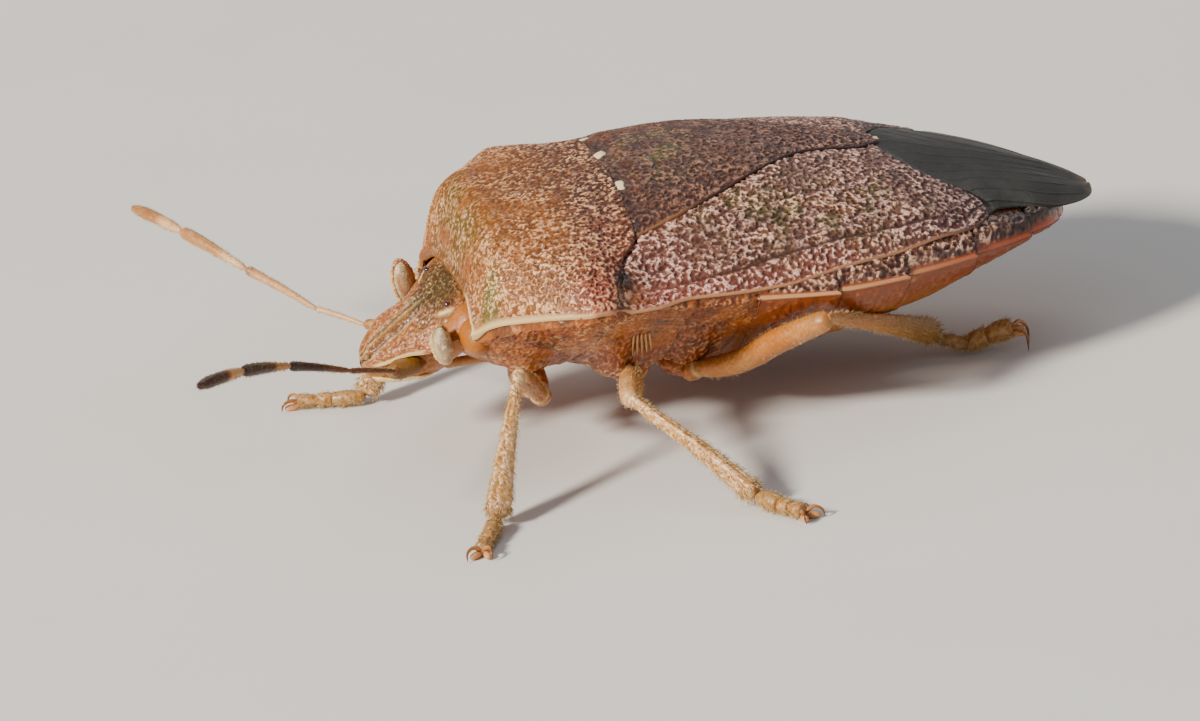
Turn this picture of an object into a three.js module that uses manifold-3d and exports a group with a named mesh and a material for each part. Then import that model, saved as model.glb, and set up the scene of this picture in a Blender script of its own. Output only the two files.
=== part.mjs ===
// Shield bug in its russet winter colour, standing, life size. Millimetres, +Z up.
// +X runs towards the wing tips, +Y to the insect's right side, floor at z = 0.
// The body is drawn in a body frame of its own (x back from the head, y right,
// z up from the edge of the shoulders) and is then set on the floor, tilted.
import * as THREE from 'three';
import { mergeVertices } from 'three/addons/utils/BufferGeometryUtils.js';
import Module from 'manifold-3d';

// ---------------------------------------------------------------- dimensions
const FLOOR_AT_ORIGIN = -3.544;      // floor height in the body frame, at x = y = 0
const FLOOR_SLOPE_X = 0.073;         // the floor rises to the rear: the head is held up
const FLOOR_SLOPE_Y = -0.040;        // slight roll of the stance
const CENTRE = [5.46, -0.07, 0];     // foot of the part's origin, on the floor

const GAP = 0.035;                   // between neighbouring pieces
const PLATE = 0.5;                   // thickness of wing cases and scutellum

// stations along the body (mm) and what they measure
const DORSAL = {                     // crest height of the back
  x: [2.30, 2.48, 2.62, 2.85, 3.20, 3.70, 4.30, 5.00, 5.40, 6.00, 7.00, 8.00, 9.00, 10.0, 10.7, 12.0, 13.0, 14.0, 14.6, 15.0],
  z: [-.45, -.15, 0.45, 1.00, 1.18, 1.28, 1.40, 1.54, 1.62, 1.67, 1.69, 1.62, 1.48, 1.30, 1.16, 0.76, 0.43, 0.05, -.18, -.34] };
const MARGIN = {                     // height of the side edge
  x: [2.30, 2.80, 3.30, 3.80, 4.30, 5.00, 7.00, 9.00, 11.6, 13.0, 14.0, 15.0],
  z: [-.93, -.56, -.26, -.04, 0.10, 0.06, -.04, -.10, -.08, -.10, -.28, -.50] };
const WIDTH = {                      // half width at the side edge
  x: [2.30, 2.39, 2.80, 3.30, 3.80, 4.20, 4.45, 4.90, 5.60, 7.00, 8.80, 10.1, 11.6, 13.0, 13.7, 14.05],
  y: [1.84, 1.92, 2.42, 3.08, 3.68, 4.05, 4.04, 3.86, 3.72, 3.78, 3.84, 3.60, 3.06, 2.24, 1.35, 0.25] };
const BACK_WIDTH = {                 // half width that the back's arch is laid over
  x: [2.30, 2.39, 2.80, 3.30, 3.80, 4.20, 4.45, 4.90, 5.60, 7.00, 8.80, 10.1, 11.6, 13.0, 14.0, 15.0],
  y: [1.84, 1.92, 2.42, 3.08, 3.68, 4.05, 4.04, 3.86, 3.76, 3.78, 3.84, 3.60, 3.10, 2.50, 1.90, 1.30] };
const WING_WIDTH = {                 // half width of the closed wing cases
  x: [4.40, 5.20, 6.10, 7.10, 7.80, 8.74, 9.68, 10.2, 10.9, 11.7, 12.05],
  y: [3.95, 3.83, 3.68, 3.70, 3.70, 3.61, 3.44, 3.31, 3.06, 2.72, 2.42] };
const BELLY = {                      // keel of the underside
  x: [2.44, 3.00, 4.00, 6.00, 7.40, 9.00, 10.8, 12.4, 13.5, 14.05],
  z: [-1.62, -1.88, -1.96, -2.00, -2.06, -2.08, -1.76, -1.06, -.64, -.44] };
const MEMBRANE = {                   // half width of the folded membranes
  x: [9.8, 12.0, 12.6, 13.3, 13.85, 14.3, 14.55, 14.64],
  y: [3.0, 2.30, 2.02, 1.80, 1.44, 0.98, 0.55, 0.15] };

const HEAD = {                       // x, half width, top, edge and bottom heights
  x: [0.770, 0.82, 0.92, 1.10, 1.30, 1.50, 1.75, 2.00, 2.25, 2.42],
  w: [0.100, 0.30, 0.50, 0.72, 0.88, 0.96, 1.06, 1.16, 1.18, 1.12],
  t: [-1.64, -1.59, -1.48, -1.33, -1.17, -1.01, -.80, -.60, -.44, -.37],
  m: [-1.72, -1.70, -1.64, -1.52, -1.37, -1.21, -1.06, -.97, -.92, -.90],
  b: [-1.82, -1.92, -2.02, -2.08, -2.10, -2.10, -2.09, -2.07, -2.02, -1.96] };
const HEAD_ROLL = THREE.MathUtils.degToRad(4.6);
const HEAD_YAW = THREE.MathUtils.degToRad(-1.3);
const NECK = [2.42, 0, -1.15];
const EYE = { at: [1.98, 1.40, -0.90], r: [0.27, 0.26, 0.39], tilt: 0.35 };

const SCUTELLUM_BASE = 2.58, SCUTELLUM_END = 10.72, TONGUE = 0.62;
const BACK_LINE = 5.36;              // hind edge of the pronotum on the midline

const FEMUR_R = 0.26, TIBIA_R = 0.25, FOOT_H = 0.46, FOOT_W = 0.25, FEELER_R = 0.25;
const COXA_R = [0.40, 0.42, 0.42];
// joints of each leg: coxa, knee, ankle in the body frame; ankle and toe on the floor
const LEGS = {
  leg_left_fore:   { n: 0, coxa: [3.56, -1.12, -1.96], knee: [2.82, -3.50, -0.99], ankle: [1.87, -5.10, -2.97], toe: [1.25, -6.48] },
  leg_left_mid:    { n: 1, coxa: [5.20, -1.45, -2.00], knee: [4.55, -4.32, -1.25], ankle: [6.30, -6.60, -2.59], toe: [6.86, -8.02] },
  leg_left_hind:   { n: 2, coxa: [6.75, -1.48, -2.05], knee: [8.36, -4.45, -0.37], ankle: [11.33, -1.66, -2.40], toe: [12.86, -1.72] },
  leg_right_fore:  { n: 0, coxa: [3.56, 1.12, -1.96], knee: [2.95, 3.52, -1.30], ankle: [1.42, 2.50, -3.32], toe: [0.10, 3.20] },
  leg_right_mid:   { n: 1, coxa: [5.20, 1.45, -2.00], knee: [4.90, 4.30, -1.15], ankle: [6.70, 6.30, -2.95], toe: [7.35, 7.62] },
  leg_right_hind:  { n: 2, coxa: [6.75, 1.48, -2.05], knee: [8.60, 4.60, -0.40], ankle: [11.35, 4.40, -2.70], toe: [13.00, 4.75] },
};
const FEELERS = {
  antenna_left:  [[1.50, -0.98, -1.60], [1.08, -1.29, -1.44], [0.13, -1.75, -1.12], [-1.16, -2.50, -0.56], [-2.31, -3.77, -0.02], [-3.46, -5.10, 0.34]],
  antenna_right: [[1.50, 0.98, -1.52], [1.20, 1.40, -1.52], [0.52, 2.28, -1.42], [-0.52, 3.27, -0.84], [-1.33, 4.84, -0.53], [-1.86, 6.54, -0.58]],
};

// ------------------------------------------------------------------- helpers
const V = (x, y, z) => new THREE.Vector3(x, y, z);
const A = (p) => V(p[0], p[1], p[2]);

// shape-preserving cubic through stations
function curve(xs, ys) {
  const n = xs.length, h = [], d = [], m = new Array(n).fill(0);
  for (let i = 0; i < n - 1; i++) { h[i] = xs[i + 1] - xs[i]; d[i] = (ys[i + 1] - ys[i]) / h[i]; }
  for (let i = 1; i < n - 1; i++)
    if (d[i - 1] * d[i] > 0) {
      const a = 2 * h[i] + h[i - 1], b = h[i] + 2 * h[i - 1];
      m[i] = (a + b) / (a / d[i - 1] + b / d[i]);
    }
  m[0] = d[0]; m[n - 1] = d[n - 2];
  return (x) => {
    if (x <= xs[0]) return ys[0];
    if (x >= xs[n - 1]) return ys[n - 1];
    let i = 0; while (x > xs[i + 1]) i++;
    const t = (x - xs[i]) / h[i], t2 = t * t, t3 = t2 * t;
    return ys[i] * (2 * t3 - 3 * t2 + 1) + h[i] * m[i] * (t3 - 2 * t2 + t)
      + ys[i + 1] * (3 * t2 - 2 * t3) + h[i] * m[i + 1] * (t3 - t2);
  };
}
const crest = curve(DORSAL.x, DORSAL.z), edge = curve(MARGIN.x, MARGIN.z);
const width = curve(WIDTH.x, WIDTH.y), backWidth = curve(BACK_WIDTH.x, BACK_WIDTH.y);
const wingWidth = curve(WING_WIDTH.x, WING_WIDTH.y), belly = curve(BELLY.x, BELLY.z);
const membraneWidth = curve(MEMBRANE.x, MEMBRANE.y);

// the arch across the back: full and steep-sided on the pronotum, flatter behind
const archPower = curve([2.3, 2.9, 4.2, 5.4, 6.5, 9.0, 12.0, 15.0], [3.2, 2.9, 2.35, 2.2, 2.1, 2.1, 2.2, 2.2]);
const archFall = curve([2.3, 2.9, 4.2, 5.4, 6.5, 9.0, 12.0, 15.0], [0.27, 0.40, 0.63, 1.05, 0.95, 0.80, 0.62, 0.70]);
function back(x, y) {
  const t = Math.min(Math.abs(y) / backWidth(x), 0.9995);
  const f = Math.pow(1 - Math.pow(t, archPower(x)), archFall(x));
  return edge(x) + (crest(x) - edge(x)) * f;
}
// the underside: drawn in like a keel on the breast, full and round on the abdomen
const bellyPower = curve([2.4, 6.0, 7.4, 8.6, 15], [1.5, 1.6, 1.8, 2.0, 2.0]);
const bellyFall = curve([2.4, 6.0, 7.4, 8.6, 15], [0.85, 0.95, 0.80, 0.66, 0.66]);
function under(x, y, w, top) {
  const t = Math.min(Math.abs(y) / w, 1);
  return top + (belly(x) - top) * Math.pow(1 - Math.pow(t, bellyPower(x)), bellyFall(x));
}

// closed skin over rings of equal point count, with flat fan ends
function loft(rings) {
  const n = rings[0].length, pos = [], idx = [];
  for (const r of rings) for (const p of r) pos.push(p.x, p.y, p.z);
  for (let i = 0; i < rings.length - 1; i++)
    for (let j = 0; j < n; j++) {
      const a = i * n + j, b = i * n + (j + 1) % n, c = a + n, d = b + n;
      idx.push(a, c, b, b, c, d);
    }
  for (const [r, flip] of [[0, false], [rings.length - 1, true]]) {
    const c = V(0, 0, 0); for (const p of rings[r]) c.add(p); c.divideScalar(n);
    const ci = pos.length / 3; pos.push(c.x, c.y, c.z);
    for (let j = 0; j < n; j++) {
      const a = r * n + j, b = r * n + (j + 1) % n;
      if (flip) idx.push(ci, b, a); else idx.push(ci, a, b);
    }
  }
  const g = new THREE.BufferGeometry();
  g.setAttribute('position', new THREE.Float32BufferAttribute(pos, 3));
  g.setIndex(idx);
  return outward(g);
}
function volume(g) {
  const p = g.getAttribute('position'), i = g.getIndex(); let v = 0;
  const a = V(0, 0, 0), b = V(0, 0, 0), c = V(0, 0, 0);
  for (let k = 0; k < i.count; k += 3) {
    a.fromBufferAttribute(p, i.getX(k)); b.fromBufferAttribute(p, i.getX(k + 1)); c.fromBufferAttribute(p, i.getX(k + 2));
    v += a.dot(b.cross(c)) / 6;
  }
  return v;
}
function outward(g) {
  if (volume(g) < 0) {
    const i = g.getIndex().array;
    for (let k = 0; k < i.length; k += 3) { const s = i[k]; i[k] = i[k + 1]; i[k + 1] = s; }
  }
  return g;
}
// tapering limb along points, with a rounded end at each side where asked
function limb(points, radii, sides = 10, round = [true, true]) {
  const path = new THREE.CatmullRomCurve3(points, false, 'centripetal');
  const steps = Math.max(3, points.length + 1), rad = curve(radii.map((_, i) => i / (radii.length - 1)), radii);
  const list = [];
  for (let i = 0; i <= steps; i++) list.push([path.getPoint(i / steps), path.getTangent(i / steps), rad(i / steps)]);
  const cap = (at, dir, r, s) => [0.9, 0.5].map((k) => [at.clone().addScaledVector(dir, s * r * k), dir, r * Math.sqrt(1 - k * k)]);
  const out = [];
  if (round[0]) out.push(...cap(list[0][0], list[0][1], list[0][2], -1));
  out.push(...list);
  if (round[1]) out.push(...cap(list[steps][0], list[steps][1], list[steps][2], 1).reverse());
  const rings = [];
  let side = V(0, 0, 1).cross(list[0][1]); if (side.length() < 0.1) side = V(1, 0, 0); side.normalize();
  for (const [p, d, r] of out) {
    side = side.clone().addScaledVector(d, -side.dot(d)).normalize();
    const up = d.clone().cross(side), ring = [];
    for (let j = 0; j < sides; j++) {
      const a = 2 * Math.PI * j / sides;
      ring.push(p.clone().addScaledVector(side, r * Math.cos(a)).addScaledVector(up, r * Math.sin(a)));
    }
    rings.push(ring);
  }
  return loft(rings);
}
function ball(at, r, m = null, seg = [12, 8]) {
  const g = new THREE.SphereGeometry(1, seg[0], seg[1]); g.rotateX(Math.PI / 2); g.scale(r[0], r[1], r[2]);
  if (m) g.applyMatrix4(m);
  g.translate(at[0], at[1], at[2]);
  return clean(g);
}
function clean(g) {
  g.deleteAttribute('normal'); g.deleteAttribute('uv');
  return outward(mergeVertices(g, 1e-5));
}

// solid joins and cuts
const wasm = await Module(); wasm.setup();
const solid = (g) => new wasm.Manifold(new wasm.Mesh({ numProp: 3,
  vertProperties: new Float32Array(g.getAttribute('position').array), triVerts: new Uint32Array(g.getIndex().array) }));
function shape(m) {
  const mesh = m.getMesh(), g = new THREE.BufferGeometry();
  g.setAttribute('position', new THREE.BufferAttribute(new Float32Array(mesh.vertProperties), 3));
  g.setIndex(new THREE.BufferAttribute(new Uint32Array(mesh.triVerts), 1));
  return g;
}
// the largest closed body of a solid
function main(m) { return m.decompose().sort((a, b) => b.volume() - a.volume())[0]; }

// upright prism over a plan outline
function prism(outline, z0 = -4, z1 = 4) {
  const s = new THREE.Shape(outline.map((p) => new THREE.Vector2(p[0], p[1])));
  const g = new THREE.ExtrudeGeometry(s, { depth: z1 - z0, bevelEnabled: false, steps: 1 });
  g.translate(0, 0, z0);
  return solid(clean(g));
}
const span = (a, b, n) => Array.from({ length: n + 1 }, (_, i) => a + (b - a) * i / n);

// ------------------------------------------------------------- shell of the back
// slab between the back's surface and a depth below it, out to half width w(x)
function slab(xs, w, depth, across = 20, lift = 0) {
  const rings = xs.map((x) => {
    const ring = [], wx = w(x);
    for (let j = 0; j <= across; j++) { const y = wx * Math.sin(Math.PI / 2 * (2 * j / across - 1)); ring.push(V(x, y, back(x, y) + lift)); }
    for (let j = across; j >= 0; j--) { const y = wx * Math.sin(Math.PI / 2 * (2 * j / across - 1)); ring.push(V(x, y, back(x, y) - depth(x, y))); }
    return ring;
  });
  return solid(loft(rings));
}
// hind edge of the pronotum: nearly straight over the scutellum, then slanting to the shoulders
const hindEdge = curve([0, 1.1, 2.30, 2.60, 2.97, 3.30, 3.65, 3.98, 4.3], [BACK_LINE, 5.41, 5.42, 5.34, 5.02, 4.86, 4.72, 4.60, 4.55]);
const frontEdge = curve([0, 0.8, 1.3, 1.86, 2.2], [2.47, 2.47, 2.45, 2.37, 2.36]);
// side of the scutellum: straight taper, then the rounded tongue
const scutellumSide = curve([5.2, 5.76, 6.71, 7.36, 8.06, 8.98, 9.6, 10.2, 10.5, 10.66, SCUTELLUM_END],
  [SCUTELLUM_BASE, 2.42, 2.09, 1.80, 1.38, TONGUE + 0.20, TONGUE, TONGUE - 0.14, 0.28, 0.14, 0.02]);
// seam between wing case and membrane, from the scutellum's tip to the wing's outer corner
const seam = curve([0, 0.4, 0.78, 1.34, 1.60, 1.85, 2.15, 2.42, 3.2], [10.30, 10.45, 10.62, 11.02, 11.40, 11.80, 12.02, 12.05, 12.05]);

const EDGE = 0.14;                   // thickness of the pronotum's side edge
const pronotumDepth = (x, y) => back(x, y) - edge(x) + EDGE;
// plates thin out towards the sides and the wing tips
const plateDepth = (x, y) => PLATE * Math.min(1, 0.32 + 2.2 * (1 - Math.abs(y) / plateWidth(x)), 0.30 + 0.9 * Math.max(0, 14.7 - x));
const plateWidth = (x) => (x < 12.05 ? wingWidth(x) : membraneWidth(x));
const pronotumSolid = (() => {
  const s = slab([2.30, 2.42, 2.52, 2.64, 2.78, 2.95, ...span(3.2, 5.46, 7)], (x) => width(Math.min(x, 4.5)), pronotumDepth, 16);
  const ys = span(-4.2, 4.2, 16), out = [];
  for (const y of ys) out.push([frontEdge(Math.abs(y)), y]);
  for (const y of ys.slice().reverse()) out.push([hindEdge(Math.abs(y)), y]);
  return main(s.intersect(prism(out)));
})();
const plates = slab([4.46, 4.8, ...span(5.2, 12.04, 14), 12.1, 12.6, 13.2, 13.7, 14.1, 14.4, 14.56, 14.64], plateWidth, plateDepth, 14);
function halfOutline(side, xs, inner, outer) {
  return [...xs.map((x) => [x, side * inner(x)]), ...xs.slice().reverse().map((x) => [x, side * outer(x)])];
}
const scutellumSolid = (() => {
  const xs = [...span(5.30, 9.9, 7), 10.3, 10.52, 10.64, SCUTELLUM_END], out = [];
  for (const x of xs) out.push([x, -scutellumSide(x) + GAP / 2]);
  for (const x of xs.slice().reverse()) out.push([x, scutellumSide(x) - GAP / 2]);
  const front = []; for (const y of span(-4.2, 4.2, 20)) front.push([hindEdge(Math.abs(y)) + GAP, y]);
  front.push([16, 4.2], [16, -4.2]);
  const raised = slab(span(5.2, 10.9, 10), () => 2.7, () => PLATE, 10, 0.04);
  return main(raised.intersect(prism(out)).intersect(prism(front)));
})();
function wingCase(side) {
  const ys = span(0.0, 4.2, 14), out = [];
  for (const y of ys) out.push([seam(y) - GAP / 2, side * y]);
  for (const y of ys.slice().reverse()) out.push([hindEdge(y) + GAP, side * y]);
  const region = plates.intersect(prism(out));
  // clear of the scutellum and of the midline
  const xs = [...span(5.0, 9.9, 8), 10.3, 10.52, 10.64, SCUTELLUM_END + 0.05], cut = [];
  for (const x of xs) cut.push([x, -scutellumSide(Math.min(x, SCUTELLUM_END)) - GAP / 2]);
  for (const x of xs.slice().reverse()) cut.push([x, scutellumSide(Math.min(x, SCUTELLUM_END)) + GAP / 2]);
  return main(region.subtract(prism(cut)));
}
function membranePart() {
  const ys = span(-4.2, 4.2, 22), out = [];
  for (const y of ys) out.push([seam(Math.abs(y)) + GAP / 2, y]);
  out.push([16, 4.2], [16, -4.2]);
  const xs = [9.9, 10.3, 10.52, 10.64, SCUTELLUM_END + 0.04], cut = [];
  for (const x of xs) cut.push([x, -scutellumSide(Math.min(x, SCUTELLUM_END)) - GAP]);
  for (const x of xs.slice().reverse()) cut.push([x, scutellumSide(Math.min(x, SCUTELLUM_END)) + GAP]);
  return plates.intersect(prism(out)).subtract(prism(cut));
}
// the two folded membranes meet on a slanting line: the left one lies uppermost
const fold = (x) => 0.30 + 0.10 * (x - 10.6);
function membrane(side) {
  const g = GAP / 2, xs = [9.5, 15.5];
  const line = xs.map((x) => [x, fold(x) + (side < 0 ? -g : g)]);
  const out = side < 0 ? [...line, [15.5, -5], [9.5, -5]] : [...line, [15.5, 5], [9.5, 5]];
  return main(membranePart().intersect(prism(out)));
}

// ---------------------------------------------------------------- under body
// ring of the trunk at x: belly below, side edge, and the hollow that the plates fill
function trunkRing(x, kind) {
  const ring = [], w = kind === 'thorax' ? Math.min(width(Math.min(x, 4.3)), width(x)) - (x < 5 ? 0.16 : 0.1) : width(x);
  const n = 12, top = kind === 'thorax' ? edge(x) - EDGE - GAP : edge(x);
  for (let j = 0; j <= n; j++) { const y = w * Math.sin(Math.PI / 2 * (2 * j / n - 1)); ring.push(V(x, y, under(x, y, w, top - 0.14))); }
  if (kind === 'thorax') {
    // closes under the pronotum in front, under the plates behind
    for (let j = 8; j >= 0; j--) {
      const y = w * Math.sin(Math.PI / 2 * (2 * j / 8 - 1));
      const low = x < 5.3 ? edge(x) - EDGE - GAP : back(x, y) - plateDepth(x, y) - GAP;
      ring.push(V(x, y, Math.max(low, under(x, y, w, top - 0.14) + 0.03)));
    }
  } else {
    const yc = Math.min(plateWidth(x) + 0.03, w - 0.05);
    ring.push(V(x, w, top), V(x, yc, top + 0.06));
    for (let j = 8; j >= 0; j--) {
      const y = yc * Math.sin(Math.PI / 2 * (2 * j / 8 - 1));
      ring.push(V(x, y, back(x, y) - plateDepth(x, y) - GAP - 0.03));
    }
    ring.push(V(x, -yc, top + 0.06), V(x, -w, top));
  }
  return ring;
}
const THORAX_END = 7.35;
let thoraxSolid = (() => {
  const fore = solid(loft(span(2.50, 5.28, 7).map((x) => trunkRing(x, 'thorax'))));
  const hind = solid(loft([5.2801, ...span(5.6, THORAX_END, 4)].map((x) => trunkRing(x < 5.31 ? 5.31 : x, 'thorax').map((p) => V(Math.min(p.x, x), p.y, p.z)))));
  let t = fore.add(hind);
  for (const k of Object.keys(LEGS)) {
    const l = LEGS[k], r = COXA_R[l.n];
    t = t.add(solid(ball(l.coxa, [r, r * 0.9, r * 0.85], null, [9, 6])));
  }
  return main(t.subtract(pronotumSolid));
})();
const abdomenSolid = solid(loft([...span(THORAX_END + GAP, 13.3, 9), 13.7, 13.92, 14.03].map((x) => trunkRing(x, 'abdomen'))));

// ---------------------------------------------------------------------- head
function headPose() {
  const m = new THREE.Matrix4().makeTranslation(...NECK);
  m.multiply(new THREE.Matrix4().makeRotationZ(HEAD_YAW)).multiply(new THREE.Matrix4().makeRotationX(HEAD_ROLL));
  return m.multiply(new THREE.Matrix4().makeTranslation(-NECK[0], -NECK[1], -NECK[2]));
}
const headWidth = curve(HEAD.x, HEAD.w), headTop = curve(HEAD.x, HEAD.t), headEdge = curve(HEAD.x, HEAD.m), headBottom = curve(HEAD.x, HEAD.b);
function headRing(x) {
  const ring = [], w = headWidth(x), n = 10;
  for (let j = 0; j < n; j++) {             // over the top, left to right
    const c = -Math.cos(Math.PI * j / n), t = Math.abs(c);
    ring.push(V(x, w * c, headEdge(x) + (headTop(x) - headEdge(x)) * Math.pow(1 - Math.pow(t, 2.2), 0.75)));
  }
  for (let j = 0; j < n; j++) {             // below, right to left: cheeks drawn in to the beak groove
    const c = Math.cos(Math.PI * j / n), t = Math.abs(c);
    const f = Math.pow(1 - Math.pow(t, 1.7), 0.72);
    ring.push(V(x, w * c * (1 - 0.10 * f), headEdge(x) + (headBottom(x) - headEdge(x)) * f));
  }
  return ring;
}
const headXs = [0.770, 0.80, 0.86, 0.95, ...span(1.08, 2.42, 8)];
const tiltY = (a) => new THREE.Matrix4().makeRotationY(a);
const eyeBall = (side, grow = 0) => solid(ball([EYE.at[0], side * EYE.at[1], EYE.at[2]], EYE.r.map((r) => r + grow), tiltY(-EYE.tilt)));
let headSolid = solid(loft(headXs.map(headRing)));
headSolid = main(headSolid.subtract(eyeBall(-1, GAP)).subtract(eyeBall(1, GAP)));
const eyeSolid = (side) => eyeBall(side);

// beak laid back along the breast
const beakPoints = [V(2.56, 0, -2.16), V(3.4, 0, -2.28), V(5.0, 0, -2.32), V(6.9, 0, -2.36)];
const beakSolid = solid(limb(beakPoints, [0.20, 0.20, 0.19, 0.17, 0.13], 8));
thoraxSolid = main(thoraxSolid.subtract(solid(limb(beakPoints, [0.24, 0.24, 0.23, 0.21, 0.17], 8))));

// ------------------------------------------------------------- set on the floor
const UP = V(-FLOOR_SLOPE_X, -FLOOR_SLOPE_Y, 1).normalize();
const EX = V(1, 0, 0).addScaledVector(UP, -UP.x).normalize();
const EY = UP.clone().cross(EX);
const LIFT = -FLOOR_AT_ORIGIN * UP.z;
const STAND = new THREE.Matrix4().set(
  EX.x, EX.y, EX.z, -CENTRE[0],
  EY.x, EY.y, EY.z, -CENTRE[1],
  UP.x, UP.y, UP.z, LIFT - CENTRE[2],
  0, 0, 0, 1);
const toFloor = (p, pose = null) => { const q = A(p); if (pose) q.applyMatrix4(pose); return q.applyMatrix4(STAND); };

// ---------------------------------------------------------------------- legs
// foot: a low rounded bar with a flat sole on the floor
function foot(a, b, grow = 0) {
  const d = V(b.x - a.x, b.y - a.y, 0), len = d.length(); d.normalize();
  const s = V(-d.y, d.x, 0), rings = [];
  const lens = [0, 0.12, 0.45, 0.80, 0.94, 1], hs = [0.42, 0.50, 0.46, 0.46, 0.42, 0.30], ws = [0.19, 0.24, 0.23, 0.27, 0.24, 0.15];
  const h = curve(lens, hs), w = curve(lens, ws);
  for (const t of [0, 0.06, 0.2, 0.5, 0.8, 0.92, 1]) {
    const c = V(a.x, a.y, 0).addScaledVector(d, t * len + (t === 0 ? -grow : t === 1 ? grow : 0)), ring = [];
    const hh = h(t) * FOOT_H / 0.5 + grow, ww = w(t) * FOOT_W / 0.25 + grow;
    const pts = [[-0.7, 0], [-1, 0.25], [-1, 0.55], [-0.75, 0.85], [-0.3, 1], [0.3, 1], [0.75, 0.85], [1, 0.55], [1, 0.25], [0.7, 0]];
    for (const [u, v] of pts) ring.push(c.clone().addScaledVector(s, u * ww).add(V(0, 0, v * hh - (v === 0 ? grow : 0))));
    rings.push(ring);
  }
  return loft(rings);
}
const bodyOnFloor = (m) => m.transform([...STAND.elements]);
const thoraxFloor = bodyOnFloor(thoraxSolid), abdomenFloor = bodyOnFloor(abdomenSolid);

const group = new THREE.Group();
const colour = { shell: '#8a6450', pale: '#b98f6d', leg: '#c5a070', eye: '#8f8f7c', membrane: '#57604f', belly: '#9a6533', feeler: '#b0603a' };
function add(name, m, c, roughness = 0.55) {
  const mesh = new THREE.Mesh(shape(m), new THREE.MeshStandardMaterial({ color: c, roughness, metalness: 0 }));
  mesh.name = name;
  group.add(mesh);
}
const HEADPOSE = headPose(), headMatrix = [...new THREE.Matrix4().multiplyMatrices(STAND, HEADPOSE).elements];
add('head', headSolid.transform(headMatrix), colour.shell);
add('eye_left', eyeSolid(-1).transform(headMatrix), colour.eye, 0.25);
add('eye_right', eyeSolid(1).transform(headMatrix), colour.eye, 0.25);
add('beak', bodyOnFloor(beakSolid), colour.belly);
add('pronotum', bodyOnFloor(pronotumSolid), colour.shell);
add('scutellum', bodyOnFloor(scutellumSolid), colour.shell);
add('wing_case_left', bodyOnFloor(wingCase(-1)), colour.shell);
add('wing_case_right', bodyOnFloor(wingCase(1)), colour.shell);
add('wing_membrane_left', bodyOnFloor(membrane(-1)), colour.membrane, 0.3);
add('wing_membrane_right', bodyOnFloor(membrane(1)), colour.membrane, 0.3);
add('thorax', thoraxFloor, colour.belly);
add('abdomen', abdomenFloor, colour.belly);

for (const [name, points] of Object.entries(FEELERS)) {
  const p = points.map((q) => toFloor(q, q === points[0] ? HEADPOSE : null));
  const first = p[0].clone().addScaledVector(p[1].clone().sub(p[0]).normalize(), 0.12);
  const headGrown = headSolid.transform(headMatrix);
  const base = solid(limb([first, p[1], p[2], p[3]], [FEELER_R, FEELER_R, FEELER_R], 8, [true, false]));
  const tipDir = p[4].clone().sub(p[3]).normalize();
  const tip = solid(limb([p[3].clone().addScaledVector(tipDir, GAP * 2), p[4], p[5]], [FEELER_R, FEELER_R, FEELER_R * 0.9], 8, [false, true]));
  // the root keeps clear of the head and of the eye
  let root = base;
  for (const dx of [[-GAP, 0, 0], [-GAP, GAP * Math.sign(p[1].y - p[0].y), 0]]) root = root.subtract(headGrown.translate(dx));
  root = main(root);
  add(name + '_root', main(root.subtract(solid(limb([p[3], p[4]], [FEELER_R + 0.02, FEELER_R + 0.02], 8, [false, false])))), colour.feeler);
  add(name + '_tip', tip, colour.feeler);
}
for (const [name, l] of Object.entries(LEGS)) {
  const coxa = toFloor(l.coxa), knee = toFloor(l.knee), ankle = toFloor(l.ankle);
  const toe = toFloor([l.toe[0], l.toe[1], FLOOR_AT_ORIGIN + FLOOR_SLOPE_X * l.toe[0] + FLOOR_SLOPE_Y * l.toe[1]]);
  const side = Math.sign(l.coxa[1]);
  let femur = solid(limb([coxa, coxa.clone().lerp(knee, 0.5).add(V(0, 0, 0.05)), knee], [FEMUR_R * 0.92, FEMUR_R * 1.08, FEMUR_R * 0.92], 8, [false, true]));
  // the root of the thigh keeps clear of the breast
  for (const body of l.n === 2 ? [thoraxFloor, abdomenFloor] : [thoraxFloor])
    for (const d of [[0, side * GAP, -GAP * 0.6]]) femur = femur.subtract(body.translate(d)).subtract(body);
  femur = femur.subtract(solid(ball([coxa.x, coxa.y, coxa.z], [1, 1, 1].map(() => COXA_R[l.n] + GAP), null, [9, 6])));
  femur = main(femur);
  const footSolid = solid(foot(ankle, toe));
  const femurClear = solid(limb([coxa, coxa.clone().lerp(knee, 0.5).add(V(0, 0, 0.05)), knee], [FEMUR_R * 0.92 + GAP, FEMUR_R * 1.08 + GAP, FEMUR_R * 0.92 + GAP], 8, [false, true]));
  let tibia = solid(limb([knee, knee.clone().lerp(ankle, 0.5), ankle], [TIBIA_R * 0.95, TIBIA_R, TIBIA_R * 1.05], 8, [true, false]));
  tibia = main(tibia.subtract(femurClear).subtract(solid(foot(ankle, toe, GAP))));
  add(name + '_thigh', femur, colour.leg);
  add(name + '_shin', tibia, colour.leg);
  add(name + '_foot', footSolid, colour.leg);
}
export default group;
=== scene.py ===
import math
import bpy
import numpy as np
from mathutils import Matrix, Vector


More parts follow.
